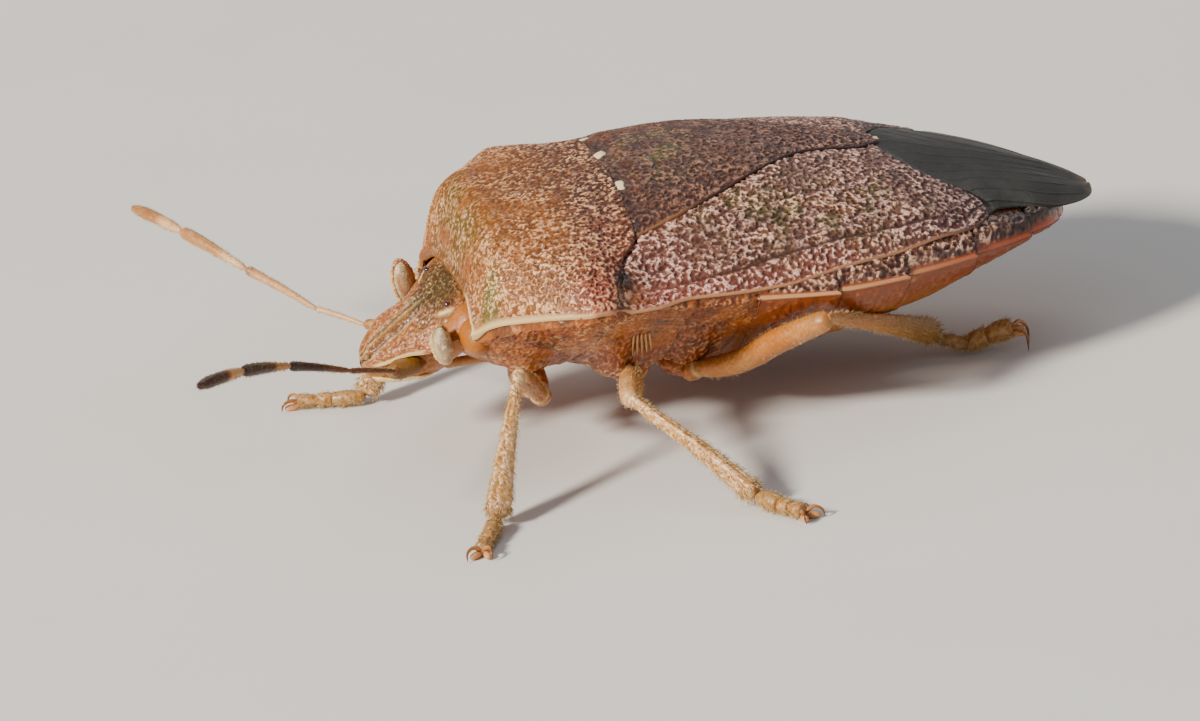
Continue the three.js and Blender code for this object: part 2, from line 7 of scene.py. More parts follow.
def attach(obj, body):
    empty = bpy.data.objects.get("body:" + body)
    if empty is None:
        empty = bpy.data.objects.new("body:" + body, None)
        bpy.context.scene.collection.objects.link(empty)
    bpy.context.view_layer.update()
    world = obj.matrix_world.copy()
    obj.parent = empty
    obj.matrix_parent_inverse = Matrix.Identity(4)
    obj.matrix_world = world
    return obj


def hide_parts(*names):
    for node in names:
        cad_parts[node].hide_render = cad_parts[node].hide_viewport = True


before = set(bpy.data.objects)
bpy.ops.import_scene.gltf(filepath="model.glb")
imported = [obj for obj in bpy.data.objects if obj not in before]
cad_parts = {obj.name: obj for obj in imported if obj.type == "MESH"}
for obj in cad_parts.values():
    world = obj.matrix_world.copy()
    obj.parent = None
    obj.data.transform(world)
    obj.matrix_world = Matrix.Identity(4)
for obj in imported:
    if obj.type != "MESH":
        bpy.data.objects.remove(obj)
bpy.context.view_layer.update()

# Shield bug in its russet colour, standing. Lengths below are millimetres in the
# insect's own body frame (x back from the head, y to its right side, z up from the
# level of the shoulders); stand() sets it on the floor in the row frame.

# ----------------------------------------------------------------- dimensions
FLOOR_Z, SLOPE_X, SLOPE_Y = -3.544, 0.073, -0.040
CENTRE = (5.46, -0.07)
UP = np.array([-SLOPE_X, -SLOPE_Y, 1.0]); UP /= np.linalg.norm(UP)
EX = np.array([1.0, 0, 0]) - UP * UP[0]; EX /= np.linalg.norm(EX)
EY = np.cross(UP, EX)
LIFT = -FLOOR_Z * UP[2]


def stand(p):
    p = np.asarray(p, float)
    return np.stack([p @ EX - CENTRE[0], p @ EY - CENTRE[1], p @ UP + LIFT], -1)


class Curve:
    """Shape-preserving cubic through stations."""
    def __init__(self, xs, ys):
        x, y = np.asarray(xs, float), np.asarray(ys, float)
        h, d = np.diff(x), np.diff(y) / np.diff(x)
        m = np.zeros(len(x))
        for i in range(1, len(x) - 1):
            if d[i - 1] * d[i] > 0:
                a, b = 2 * h[i] + h[i - 1], h[i] + 2 * h[i - 1]
                m[i] = (a + b) / (a / d[i - 1] + b / d[i])
        m[0], m[-1] = d[0], d[-1]
        self.x, self.y, self.h, self.m = x, y, h, m

    def __call__(self, q):
        q = np.clip(np.asarray(q, float), self.x[0], self.x[-1])
        i = np.clip(np.searchsorted(self.x, q, side="right") - 1, 0, len(self.h) - 1)
        h = self.h[i]; t = (q - self.x[i]) / h
        return (self.y[i] * (2 * t**3 - 3 * t**2 + 1) + h * self.m[i] * (t**3 - 2 * t**2 + t)
                + self.y[i + 1] * (3 * t**2 - 2 * t**3) + h * self.m[i + 1] * (t**3 - t**2))


crest = Curve([2.30, 2.48, 2.62, 2.85, 3.20, 3.70, 4.30, 5.00, 5.40, 6.00, 7.00, 8.00, 9.00, 10.0, 10.7, 12.0, 13.0, 14.0, 14.6, 15.0],
              [-.45, -.15, 0.45, 1.00, 1.18, 1.28, 1.40, 1.54, 1.62, 1.67, 1.69, 1.62, 1.48, 1.30, 1.16, 0.76, 0.43, 0.05, -.18, -.34])
edge = Curve([2.30, 2.80, 3.30, 3.80, 4.30, 5.00, 7.00, 9.00, 11.6, 13.0, 14.0, 15.0],
             [-.93, -.56, -.26, -.04, 0.10, 0.06, -.04, -.10, -.08, -.10, -.28, -.50])
width = Curve([2.30, 2.39, 2.80, 3.30, 3.80, 4.20, 4.45, 4.90, 5.60, 7.00, 8.80, 10.1, 11.6, 13.0, 13.7, 14.05],
              [1.84, 1.92, 2.42, 3.08, 3.68, 4.05, 4.04, 3.86, 3.72, 3.78, 3.84, 3.60, 3.06, 2.24, 1.35, 0.25])
back_width = Curve([2.30, 2.39, 2.80, 3.30, 3.80, 4.20, 4.45, 4.90, 5.60, 7.00, 8.80, 10.1, 11.6, 13.0, 14.0, 15.0],
                   [1.84, 1.92, 2.42, 3.08, 3.68, 4.05, 4.04, 3.86, 3.76, 3.78, 3.84, 3.60, 3.10, 2.50, 1.90, 1.30])
wing_width = Curve([4.40, 5.20, 6.10, 7.10, 7.80, 8.74, 9.68, 10.2, 10.9, 11.7, 12.05],
                   [3.95, 3.83, 3.68, 3.70, 3.70, 3.61, 3.44, 3.31, 3.06, 2.72, 2.42])
belly = Curve([2.44, 3.00, 4.00, 6.00, 7.40, 9.00, 10.8, 12.4, 13.5, 14.05],
              [-1.62, -1.88, -1.96, -2.00, -2.06, -2.08, -1.76, -1.06, -.64, -.44])
membrane_width = Curve([9.8, 12.0, 12.6, 13.3, 13.85, 14.3, 14.55, 14.64],
                       [3.0, 2.30, 2.02, 1.80, 1.44, 0.98, 0.55, 0.15])
arch_power = Curve([2.3, 2.9, 4.2, 5.4, 6.5, 9.0, 12.0, 15.0], [3.2, 2.9, 2.35, 2.2, 2.1, 2.1, 2.2, 2.2])
arch_fall = Curve([2.3, 2.9, 4.2, 5.4, 6.5, 9.0, 12.0, 15.0], [0.27, 0.40, 0.63, 1.05, 0.95, 0.80, 0.62, 0.70])
belly_power = Curve([2.4, 6.0, 7.4, 8.6, 15], [1.5, 1.6, 1.8, 2.0, 2.0])
belly_fall = Curve([2.4, 6.0, 7.4, 8.6, 15], [0.85, 0.95, 0.80, 0.66, 0.66])
front_edge = Curve([0, 0.8, 1.3, 1.86, 2.2], [2.47, 2.47, 2.45, 2.37, 2.36])
hind_edge = Curve([0, 1.1, 2.30, 2.60, 2.97, 3.30, 3.65, 3.98, 4.3], [5.36, 5.41, 5.42, 5.34, 5.02, 4.86, 4.72, 4.60, 4.55])
scutellum_side = Curve([5.2, 5.76, 6.71, 7.36, 8.06, 8.98, 9.6, 10.2, 10.5, 10.66, 10.72],
                       [2.58, 2.42, 2.09, 1.80, 1.38, 0.82, 0.62, 0.48, 0.28, 0.14, 0.02])
seam = Curve([0, 0.4, 0.78, 1.34, 1.60, 1.85, 2.15, 2.42, 3.2], [10.30, 10.45, 10.62, 11.02, 11.40, 11.80, 12.02, 12.05, 12.05])


def back(x, y):
    t = np.minimum(np.abs(y) / back_width(x), 0.9995)
    return edge(x) + (crest(x) - edge(x)) * (1 - t ** arch_power(x)) ** arch_fall(x)


def under(x, y, w, top):
    t = np.minimum(np.abs(y) / w, 1)
    low = belly(x) + 0.21 * smooth(8.0, 10.0, x) * smooth(14.1, 13.4, x)
    return top + (low - top) * (1 - t ** belly_power(x)) ** belly_fall(x)


# --------------------------------------------------------------- noise fields
def _rand(ix, iy, iz, seed):
    m = np.uint64(0xFFFFFFFF)
    h = ((ix.astype(np.int64) * 73856093) ^ (iy.astype(np.int64) * 19349663) ^ (iz.astype(np.int64) * 83492791)
         ^ np.int64(seed * 668265263 % 2147483647)).astype(np.uint64) & m
    h ^= h >> np.uint64(15); h = (h * np.uint64(2246822519)) & m
    h ^= h >> np.uint64(13); h = (h * np.uint64(3266489917)) & m
    h ^= h >> np.uint64(16)
    return h.astype(np.float64) / 4294967296.0


def noise(p, size, seed=1, octaves=1):
    """Smooth value noise, about 0 to 1, with features of the given size."""
    out, amp, total = 0.0, 1.0, 0.0
    shp = p.shape[:-1]
    for o in range(octaves):
        q = p.reshape(-1, 3) / size * 2**o + 17.3 * o
        i = np.floor(q).astype(np.int64); f = q - i; f = f * f * (3 - 2 * f)
        v = 0.0
        for a in (0, 1):
            for b in (0, 1):
                for c in (0, 1):
                    w = (f[:, 0] if a else 1 - f[:, 0]) * (f[:, 1] if b else 1 - f[:, 1]) * (f[:, 2] if c else 1 - f[:, 2])
                    v = v + w * _rand(i[:, 0] + a, i[:, 1] + b, i[:, 2] + c, seed + 31 * o)
        out = out + amp * v; total += amp; amp *= 0.5
    return (out / total).reshape(shp)


def cells(p, size, seed=1, jitter=0.8):
    """Nearest and second nearest of scattered points, in units of size, and the nearest one's own number."""
    shp = p.shape[:-1]
    q = p.reshape(-1, 3) / size
    i = np.floor(q).astype(np.int64)
    f1 = np.full(len(q), 9.0); f2 = np.full(len(q), 9.0); own = np.zeros(len(q))
    for a in (-1, 0, 1):
        for b in (-1, 0, 1):
            for c in (-1, 0, 1):
                j = [i[:, 0] + a, i[:, 1] + b, i[:, 2] + c]
                d = 0.0
                for k in range(3):
                    d = d + (j[k] + 0.5 + jitter * (_rand(*j, seed + 7 * k) - 0.5) - q[:, k]) ** 2
                d = np.sqrt(d)
                near = d < f1
                f2 = np.where(near, f1, np.minimum(f2, d))
                own = np.where(near, _rand(*j, seed + 101), own)
                f1 = np.where(near, d, f1)
    return f1.reshape(shp), f2.reshape(shp), own.reshape(shp)


def smooth(a, b, v):
    t = np.clip((v - a) / (b - a), 0, 1)
    return t * t * (3 - 2 * t)


def bell(v):
    return np.exp(-np.square(v))


def to_line(x, y, pts):
    """Distance in plan from (x, y) to a polyline."""
    d = np.full(np.shape(x), 1e9)
    for (ax, ay), (bx, by) in zip(pts[:-1], pts[1:]):
        ux, uy = bx - ax, by - ay
        t = np.clip(((x - ax) * ux + (y - ay) * uy) / (ux * ux + uy * uy), 0, 1)
        d = np.minimum(d, np.hypot(x - ax - t * ux, y - ay - t * uy))
    return d


# ------------------------------------------------------------------- meshing
class Soup:
    """Gathers grids, caps and hairs into one mesh."""
    def __init__(self):
        self.v, self.q, self.t, self.uq, self.ut, self.a, self.n = [], [], [], [], [], [], 0

    def _add(self, v, q, t, uq, ut, attrs):
        v = np.asarray(v, float).reshape(-1, 3)
        q = np.asarray(q, np.int64).reshape(-1, 4); t = np.asarray(t, np.int64).reshape(-1, 3)
        uq = np.asarray(uq, float).reshape(-1, 4, 2); ut = np.asarray(ut, float).reshape(-1, 3, 2)
        tri = np.concatenate([q[:, [0, 1, 2]], q[:, [0, 2, 3]], t])
        c = v.mean(0); a, b, d = (v[tri[:, k]] - c for k in range(3))
        if (a * np.cross(b, d)).sum() < 0:
            q, t, uq, ut = q[:, ::-1], t[:, ::-1], uq[:, ::-1], ut[:, ::-1]
        self.v.append(v); self.q.append(q + self.n); self.t.append(t + self.n); self.uq.append(uq); self.ut.append(ut)
        self.a.append({k: np.broadcast_to(np.asarray(w, float), (len(v),)).copy() if np.ndim(w) == 0 else np.asarray(w, float).ravel() for k, w in attrs.items()})
        self.n += len(v)

    def tube(self, p, ends=(True, True), box=(0, 0, 1, 1), **attrs):
        """p is rows x around x 3, closed around; each end is shut by a fan."""
        a, b = p.shape[:2]
        i, j = np.meshgrid(np.arange(a - 1), np.arange(b), indexing="ij")
        q = np.stack([i * b + j, (i + 1) * b + j, (i + 1) * b + (j + 1) % b, i * b + (j + 1) % b], -1).reshape(-1, 4)
        x0, y0, x1, y1 = box
        ug = lambda i, j: np.stack([x0 + (x1 - x0) * (0.01 + 0.98 * j / b), y0 + (y1 - y0) * (0.03 + 0.94 * i / (a - 1))], -1)
        uq = np.stack([ug(i, j), ug(i + 1, j), ug(i + 1, j + 1), ug(i, j + 1)], -2).reshape(-1, 4, 2)
        v = p.reshape(-1, 3); t, ut = [], []
        extra = {k: (np.asarray(w, float).ravel() if np.ndim(w) else np.full(a * b, float(w))) for k, w in attrs.items()}
        for k, row in ((0, 0), (1, a - 1)):
            if not ends[k]:
                continue
            c = len(v); v = np.concatenate([v, p[row].mean(0)[None]])
            extra = {key: np.append(w, w[row * b:(row + 1) * b].mean()) for key, w in extra.items()}
            jj = np.arange(b); e = np.stack([row * b + jj, row * b + (jj + 1) % b, np.full(b, c)], -1)
            eu = np.stack([ug(np.full(b, row), jj), ug(np.full(b, row), jj + 1),
                           np.stack([x0 + (x1 - x0) * (0.01 + 0.98 * (jj + 0.5) / b), np.full(b, y0 if k == 0 else y1)], -1)], -2)
            if k == 1:
                e, eu = e[:, ::-1], eu[:, ::-1]
            t.append(e); ut.append(eu)
        self._add(v, q, np.concatenate(t) if t else np.zeros((0, 3)), uq, np.concatenate(ut) if ut else np.zeros((0, 3, 2)), extra)

    def plate(self, p, drop=0.2, inset=0.05, thin=0.06, box=(0, 0, 1, 1), **attrs):
        """p is a grid of a shell's upper face; its border is turned down and the piece is shut below."""
        a, b = p.shape[:2]
        i, j = np.meshgrid(np.arange(a - 1), np.arange(b - 1), indexing="ij")
        q = np.stack([i * b + j, (i + 1) * b + j, (i + 1) * b + j + 1, i * b + j + 1], -1).reshape(-1, 4)
        x0, y0, x1, y1 = box
        gx = x0 + (x1 - x0) * (0.03 + 0.94 * np.arange(b) / (b - 1)); gy = y0 + (y1 - y0) * (0.03 + 0.94 * np.arange(a) / (a - 1))
        uv = np.stack(np.meshgrid(gx, gy), -1).reshape(-1, 2)
        ring = np.concatenate([np.arange(b), np.arange(1, a) * b + b - 1, (a - 1) * b + np.arange(b - 2, -1, -1), np.arange(a - 2, 0, -1) * b])
        v = p.reshape(-1, 3); n, m = len(v), len(ring)
        mid = v[ring].mean(0)
        nxt, prv = np.roll(np.arange(m), -1), np.roll(np.arange(m), 1)
        tan = v[ring][nxt] - v[ring][prv]
        nrm = np.stack([-tan[:, 1], tan[:, 0], 0 * tan[:, 0]], -1); nrm /= np.maximum(np.linalg.norm(nrm, axis=1), 1e-9)[:, None]
        if (nrm * (mid - v[ring])).sum() < 0:
            nrm = -nrm
        inward = (mid[:2] - v[ring][:, :2]); inward /= np.maximum(np.linalg.norm(inward, axis=1), 1e-9)[:, None]
        step = nrm.copy(); step[:, :2] = 0.5 * (step[:, :2] + inward)
        fall = (np.asarray(drop, float).ravel()[ring] if np.ndim(drop) else np.full(m, float(drop)))[:, None] * np.array([0, 0, -1.0])
        r1 = v[ring] + fall * 0.5; r2 = v[ring] + inset * step + fall
        # below, a coarser copy of the face, joined to the border
        I = np.unique(np.concatenate([np.arange(0, a - 1, 6), [1, a - 2, a - 1]])); J = np.unique(np.concatenate([np.arange(0, b - 1, 6), [1, b - 2, b - 1]]))
        I = I[(I == 0) | ((I > 3) & (I < a - 4)) | (I == a - 1)]; J = J[(J == 0) | ((J > 3) & (J < b - 4)) | (J == b - 1)]
        deep = np.maximum(np.asarray(drop, float).reshape(a, b) if np.ndim(drop) else np.full((a, b), float(drop)), thin)
        II, JJ = np.meshgrid(I[1:-1], J[1:-1], indexing="ij")
        c = p[II, JJ] - deep[II, JJ][..., None] * np.array([0, 0, 1.0])
        inner = {(i_, j_): n + 2 * m + k_ for k_, (i_, j_) in enumerate(zip(II.ravel(), JJ.ravel()))}
        at_ring = {int(r_): n + m + k_ for k_, r_ in enumerate(ring)}
        t = []
        for ia, ib in zip(I[:-1], I[1:]):
            for ja, jb in zip(J[:-1], J[1:]):
                loop = [(ia, j_) for j_ in (range(ja, jb) if ia == 0 else (ja,))] + [(i_, jb) for i_ in (range(ia, ib) if jb == b - 1 else (ia,))]
                loop += [(ib, j_) for j_ in (range(jb, ja, -1) if ib == a - 1 else (jb,))] + [(i_, ja) for i_ in (range(ib, ia, -1) if ja == 0 else (ib,))]
                ids = [inner[q_] if q_ in inner else at_ring[q_[0] * b + q_[1]] for q_ in loop]
                free = [k_ for k_, q_ in enumerate(loop) if q_ in inner]
                if free:
                    k_ = free[len(free) // 2]; ids = ids[k_:] + ids[:k_]
                t += [(ids[0], ids[k_ + 1], ids[k_]) for k_ in range(1, len(ids) - 1)]
        t = np.array(t)
        extra = {}
        for k, w in attrs.items():
            w = np.asarray(w, float).ravel() if np.ndim(w) else np.full(n, float(w))
            extra[k] = np.concatenate([w, w[ring], w[ring], w.reshape(a, b)[II, JJ].ravel()])
        k = np.arange(m)
        lo, hi = n, n + m
        s1 = np.stack([ring, ring[nxt], lo + nxt, lo + k], -1); s2 = np.stack([lo + k, lo + nxt, hi + nxt, hi + k], -1)
        uvr = uv[ring]; out = uvr + (uvr - np.array([(x0 + x1) / 2, (y0 + y1) / 2])) * 0.02
        out2 = uvr + (uvr - np.array([(x0 + x1) / 2, (y0 + y1) / 2])) * 0.04
        uq = np.concatenate([uv[q], np.stack([uvr, uvr[nxt], out[nxt], out], -2), np.stack([out, out[nxt], out2[nxt], out2], -2)])
        o = out2[np.arange(len(t)) % m]; o2 = out2[(np.arange(len(t)) + 1) % m]
        ut = np.stack([o, o2, o * 1.0005], -2)
        self._add(np.concatenate([v, r1, r2, c.reshape(-1, 3)]), np.concatenate([q, s1, s2]), t, uq, ut, extra)

    def cones(self, root, way, length, radius, uv, bend=0.0, sides=3, **attrs):
        """Hairs and small spines: root, direction, length and root radius of each."""
        n = len(root)
        way = way / np.linalg.norm(way, axis=1)[:, None]
        ref = np.where(np.abs(way[:, 2:3]) < 0.9, np.array([[0, 0, 1.0]]), np.array([[1.0, 0, 0]]))
        s = np.cross(way, ref); s /= np.linalg.norm(s, axis=1)[:, None]
        u = np.cross(s, way)
        droop = np.array([0, 0, -1.0]) * bend
        rings = []
        for f, rr in ((0.0, 1.0), (0.5, 0.72)):
            c = root + way * (length * f)[:, None] + droop * (length * f * f)[:, None]
            for k in range(sides):
                w = 2 * math.pi * k / sides
                rings.append(c + (s * math.cos(w) + u * math.sin(w)) * (radius * rr)[:, None])
        tip = root + way * length[:, None] + droop * length[:, None]
        v = np.stack(rings + [tip, root - way * radius[:, None]], 1)
        per = v.shape[1]; base = (np.arange(n) * per)[:, None, None]
        q, t, fu, tu = [], [], [], []
        P = 0.0015
        at = lambda k, f: (P * (2.0 * k / sides - 1), P * (2 * f - 1))
        for k in range(sides):
            k2 = (k + 1) % sides
            q.append([k, k2, sides + k2, sides + k]); fu.append([at(k, 0), at(k + 1, 0), at(k + 1, 0.5), at(k, 0.5)])
            t.append([sides + k, sides + k2, 2 * sides]); tu.append([at(k, 0.5), at(k + 1, 0.5), at(k + 0.5, 1)])
            t.append([k2, k, 2 * sides + 1]); tu.append([at(k + 1, 0), at(k, 0), at(k + 0.5, 0.1)])
        q = (np.array(q)[None] + base).reshape(-1, 4); t = (np.array(t)[None] + base).reshape(-1, 3)
        uq = (uv[:, None, None, :] + np.array(fu)[None]).reshape(-1, 4, 2); ut = (uv[:, None, None, :] + np.array(tu)[None]).reshape(-1, 3, 2)
        extra = {k: np.repeat(np.broadcast_to(np.asarray(w, float), (n,)), per) for k, w in attrs.items()}
        self._add(v.reshape(-1, 3), q, t, uq, ut, extra)

    def build(self, name, mat, slot, replaces=(), row=False, flat=False):
        v = np.concatenate(self.v)
        if not row:
            v = stand(v)
        v[:, 2] = np.maximum(v[:, 2], 0)
        q, t = np.concatenate(self.q), np.concatenate(self.t)
        uq, ut = np.concatenate(self.uq), np.concatenate(self.ut)
        me = bpy.data.meshes.new(name)
        me.vertices.add(len(v)); me.vertices.foreach_set("co", (v * 0.001).astype(np.float32).ravel())
        loops = np.concatenate([q.ravel(), t.ravel()])
        me.loops.add(len(loops)); me.loops.foreach_set("vertex_index", loops.astype(np.int32))
        me.polygons.add(len(q) + len(t))
        start = np.concatenate([np.arange(len(q)) * 4, len(q) * 4 + np.arange(len(t)) * 3])
        me.polygons.foreach_set("loop_start", start.astype(np.int32))
        me.update(calc_edges=True)
        keys = sorted({k for a in self.a for k in a})
        for k in keys:
            w = np.concatenate([a.get(k, np.zeros(len(x))) for a, x in zip(self.a, self.v)])
            me.attributes.new(k, "FLOAT", "POINT").data.foreach_set("value", w.astype(np.float32))
        uv = me.uv_layers.new(name="OFBake")
        uv.uv.foreach_set("vector", np.clip(np.concatenate([uq.reshape(-1, 2), ut.reshape(-1, 2)]), 0, 1).astype(np.float32).ravel())
        if not flat:
            me.shade_smooth()
        me.validate()
        ob = bpy.data.objects.new(name, me)
        bpy.context.scene.collection.objects.link(ob)
        me.materials.append(mat)
        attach(ob, "root")
        if replaces:
            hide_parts(*replaces)
        return ob


def normals(p, wrap=False):
    du = np.gradient(p, axis=0)
    if wrap:
        dv = (np.roll(p, -1, 1) - np.roll(p, 1, 1)) / 2
    else:
        dv = np.gradient(p, axis=1)
    n = np.cross(du, dv)
    n /= np.maximum(np.linalg.norm(n, axis=-1), 1e-12)[..., None]
    return n


def raise_up(p, h, wrap=False):
    """Moves a grid along its outward normals."""
    n = normals(p, wrap)
    if wrap:
        if (n * (p - p.mean(1, keepdims=True))).sum() < 0:
            n = -n
    elif n[..., 2].sum() < 0:
        n = -n
    return p + n * h[..., None]


def spaced(length, step, ends=(0.0, 0.010, 0.024, 0.042, 0.065, 0.092)):
    """0 to 1, evenly spaced but closer together near both ends."""
    e = np.array(ends) / length
    n = max(4, int(round((length - 2 * ends[-1]) / step)))
    return np.concatenate([e[:-1], np.linspace(e[-1], 1 - e[-1], n), (1 - e[:-1])[::-1]])


def rounded(d, r):
    """Drop of an edge rounded to radius r, at distance d from it."""
    k = np.clip(1 - d / r, 0, 1)
    return r * (1 - np.sqrt(np.maximum(1 - k * k, 0)))


def from_edges(p):
    """Distances of each grid point from the first and last row and column, along the grid."""
    f = lambda a, b: np.linalg.norm(a - b, axis=-1)
    return f(p, p[:1]), f(p, p[-1:]), f(p, p[:, :1]), f(p, p[:, -1:])


# ------------------------------------------------------------------ materials
def lin(r, g, b):
    """Paint that looks like r, g, b in the studio light: purer than seen, and darker where it is dark."""
    f = lambda c: ((c / 255 + 0.055) / 1.055) ** 2.4 if c > 10 else c / 255 / 12.92
    c = (f(r), f(g), f(b)); y = 0.299 * c[0] + 0.587 * c[1] + 0.114 * c[2]
    return tuple(min(0.86, max(0.002, (y + (k - y) * 1.28) * (0.36 + 0.66 * y))) for k in c) + (1.0,)


class Mat:
    """A node material: colours are laid over one another by masks."""
    def __init__(self, name, base, rough=0.5, specular=0.5, coat=0.0, coat_rough=0.2, sss=0.0, alpha=1.0, ior=1.5):
        self.m = bpy.data.materials.new(name); self.m.use_nodes = True
        nt = self.nt = self.m.node_tree; self.b = nt.nodes["Principled BSDF"]
        self.b.inputs["Roughness"].default_value = rough
        self.b.inputs["Specular IOR Level"].default_value = specular
        self.b.inputs["Coat Weight"].default_value = coat
        self.b.inputs["Coat Roughness"].default_value = coat_rough
        self.b.inputs["IOR"].default_value = ior
        self.b.inputs["Alpha"].default_value = alpha
        if sss:
            self.b.inputs["Subsurface Weight"].default_value = sss
            self.b.inputs["Subsurface Radius"].default_value = (1.0, 0.5, 0.25)
            self.b.inputs["Subsurface Scale"].default_value = 0.00012
        tc = nt.nodes.new("ShaderNodeTexCoord"); mp = nt.nodes.new("ShaderNodeMapping")
        mp.inputs["Scale"].default_value = (1000, 1000, 1000)
        nt.links.new(tc.outputs["Object"], mp.inputs["Vector"])
        self.place = mp.outputs["Vector"]
        rgb = nt.nodes.new("ShaderNodeRGB"); rgb.outputs[0].default_value = base
        self.col = rgb.outputs[0]
        self.bumps = []

    def attr(self, name):
        n = self.nt.nodes.new("ShaderNodeAttribute"); n.attribute_name = name
        return n.outputs["Fac"]

    def noise(self, scale, detail=3.0, rough=0.55, lo=0.35, hi=0.65):
        n = self.nt.nodes.new("ShaderNodeTexNoise")
        n.inputs["Scale"].default_value = scale; n.inputs["Detail"].default_value = detail; n.inputs["Roughness"].default_value = rough
        self.nt.links.new(self.place, n.inputs["Vector"])
        return self.span(n.outputs["Fac"], lo, hi)

    def vor(self, scale, lo, hi, flip=True, feature="F1"):
        n = self.nt.nodes.new("ShaderNodeTexVoronoi"); n.feature = feature
        n.inputs["Scale"].default_value = scale
        self.nt.links.new(self.place, n.inputs["Vector"])
        return self.span(n.outputs["Distance"], lo, hi, flip)

    def span(self, out, lo, hi, flip=False, to=(0.0, 1.0)):
        n = self.nt.nodes.new("ShaderNodeMapRange"); n.interpolation_type = "SMOOTHSTEP"
        n.inputs["From Min"].default_value = lo; n.inputs["From Max"].default_value = hi
        n.inputs["To Min"].default_value = to[1] if flip else to[0]; n.inputs["To Max"].default_value = to[0] if flip else to[1]
        self.nt.links.new(out, n.inputs["Value"])
        return n.outputs["Result"]

    def math(self, op, a, b):
        n = self.nt.nodes.new("ShaderNodeMath"); n.operation = op; n.use_clamp = op != "SUBTRACT"
        for k, v in enumerate((a, b)):
            if isinstance(v, (int, float)):
                n.inputs[k].default_value = v
            else:
                self.nt.links.new(v, n.inputs[k])
        return n.outputs[0]

    def over(self, colour, mask, amount=1.0, blend="MIX"):
        n = self.nt.nodes.new("ShaderNodeMix"); n.data_type = "RGBA"; n.blend_type = blend
        if amount != 1.0:
            mask = self.math("MULTIPLY", mask, amount)
        self.nt.links.new(mask, n.inputs["Factor"])
        self.nt.links.new(self.col, n.inputs["A"])
        if isinstance(colour, tuple):
            n.inputs["B"].default_value = colour
        else:
            self.nt.links.new(colour, n.inputs["B"])
        self.col = n.outputs["Result"]
        return self

    def bump(self, height, microns, strength=1.0):
        n = self.nt.nodes.new("ShaderNodeBump")
        n.inputs["Distance"].default_value = microns * 1e-6; n.inputs["Strength"].default_value = strength
        self.nt.links.new(height, n.inputs["Height"])
        if self.bumps:
            self.nt.links.new(self.bumps[-1], n.inputs["Normal"])
        self.bumps.append(n.outputs["Normal"])
        return self

    def rough(self, mask, lo, hi):
        self.nt.links.new(self.span(mask, 0, 1, to=(lo, hi)), self.b.inputs["Roughness"])
        return self

    def done(self):
        self.nt.links.new(self.col, self.b.inputs["Base Color"])
        if self.bumps:
            self.nt.links.new(self.bumps[-1], self.b.inputs["Normal"])
        return self.m


def shell(name, base, warm, cool, ridge, pit, rough=0.46, coat=0.09, sss=0.06):
    """Punctured horn: fields painted on the mesh say where it turns warm, cool, light or dark."""
    m = Mat(name, base, rough=rough, specular=0.45, coat=coat, coat_rough=0.32, sss=sss)
    m.over(lin(84, 52, 32), m.noise(1.1, 4, lo=0.40, hi=0.75), 0.30)
    m.over(warm, m.attr("warm")).over(cool, m.attr("cool"))
    m.over(lin(140, 98, 82), m.attr("back"))
    m.over(lin(112, 122, 48), m.attr("green"))
    # amber: the horn's own amber, and behind the eyes, under the head and at the neck a painted reflection, the orange
    # glow cast up into the shade
    m.over(lin(200, 128, 56), m.attr("amber"))
    m.over(lin(216, 116, 104), m.attr("pink"))
    g = m.attr("grain")
    low = m.math("MULTIPLY", m.span(g, 0.20, 0.48, True), m.attr("speck"))
    m.over(pit, low).over(lin(60, 38, 36), m.math("MULTIPLY", low, m.attr("back")))
    m.over(pit, m.noise(9.0, 3, lo=0.52, hi=0.80), 0.25)
    # pale ridges between the punctures: partly real pale grains, partly painted highlight that stands in for the
    # glints on the raised grains
    high = m.math("MULTIPLY", m.math("MULTIPLY", m.span(g, 0.50, 0.72), m.attr("bloom")), m.noise(20.0, 1, lo=0.34, hi=0.56))
    m.over(ridge, high).over(lin(240, 204, 188), m.math("MULTIPLY", high, m.attr("back")))
    m.over(lin(40, 24, 20), m.attr("shade"))
    m.over(lin(236, 208, 160), m.attr("cream"))
    # ivory: real pale spots and edges, and a painted highlight at the scutellum's tip
    m.over(lin(246, 226, 190), m.span(m.attr("ivory"), 0.35, 0.60))
    # black: real black dots at the scutellum's base, and painted shadow under the pronotum's hind corners and on the
    # near feeler
    m.over(lin(30, 28, 40), m.span(m.attr("black"), 0.15, 0.80), 0.92)
    m.bump(m.noise(34.0, 2, lo=0.2, hi=0.8), 3.0, 0.5)
    m.bump(m.noise(11.0, 2, lo=0.2, hi=0.8), 6.0, 0.5)
    m.rough(m.noise(16.0, 2), rough - 0.10, rough + 0.14)
    return m.done()


SHELL = shell("russet_shell", lin(150, 94, 60), lin(182, 116, 64), lin(108, 62, 52), lin(248, 200, 162), lin(66, 34, 22))
SCUTEL = shell("scutellum_horn", lin(112, 74, 58), lin(154, 98, 56), lin(90, 58, 58), lin(212, 162, 138), lin(60, 37, 31))
CORIUM = shell("wing_case_horn", lin(140, 98, 84), lin(168, 118, 74), lin(108, 72, 74), lin(244, 206, 190), lin(58, 36, 34))
HEAD_M = shell("head_horn", lin(166, 110, 70), lin(196, 132, 90), lin(98, 78, 48), lin(240, 194, 152), lin(84, 50, 30), rough=0.40)
BELLY_M = shell("underside_horn", lin(184, 99, 28), lin(214, 134, 44), lin(150, 70, 22), lin(246, 198, 152), lin(100, 50, 20), rough=0.38, coat=0.2, sss=0.12)


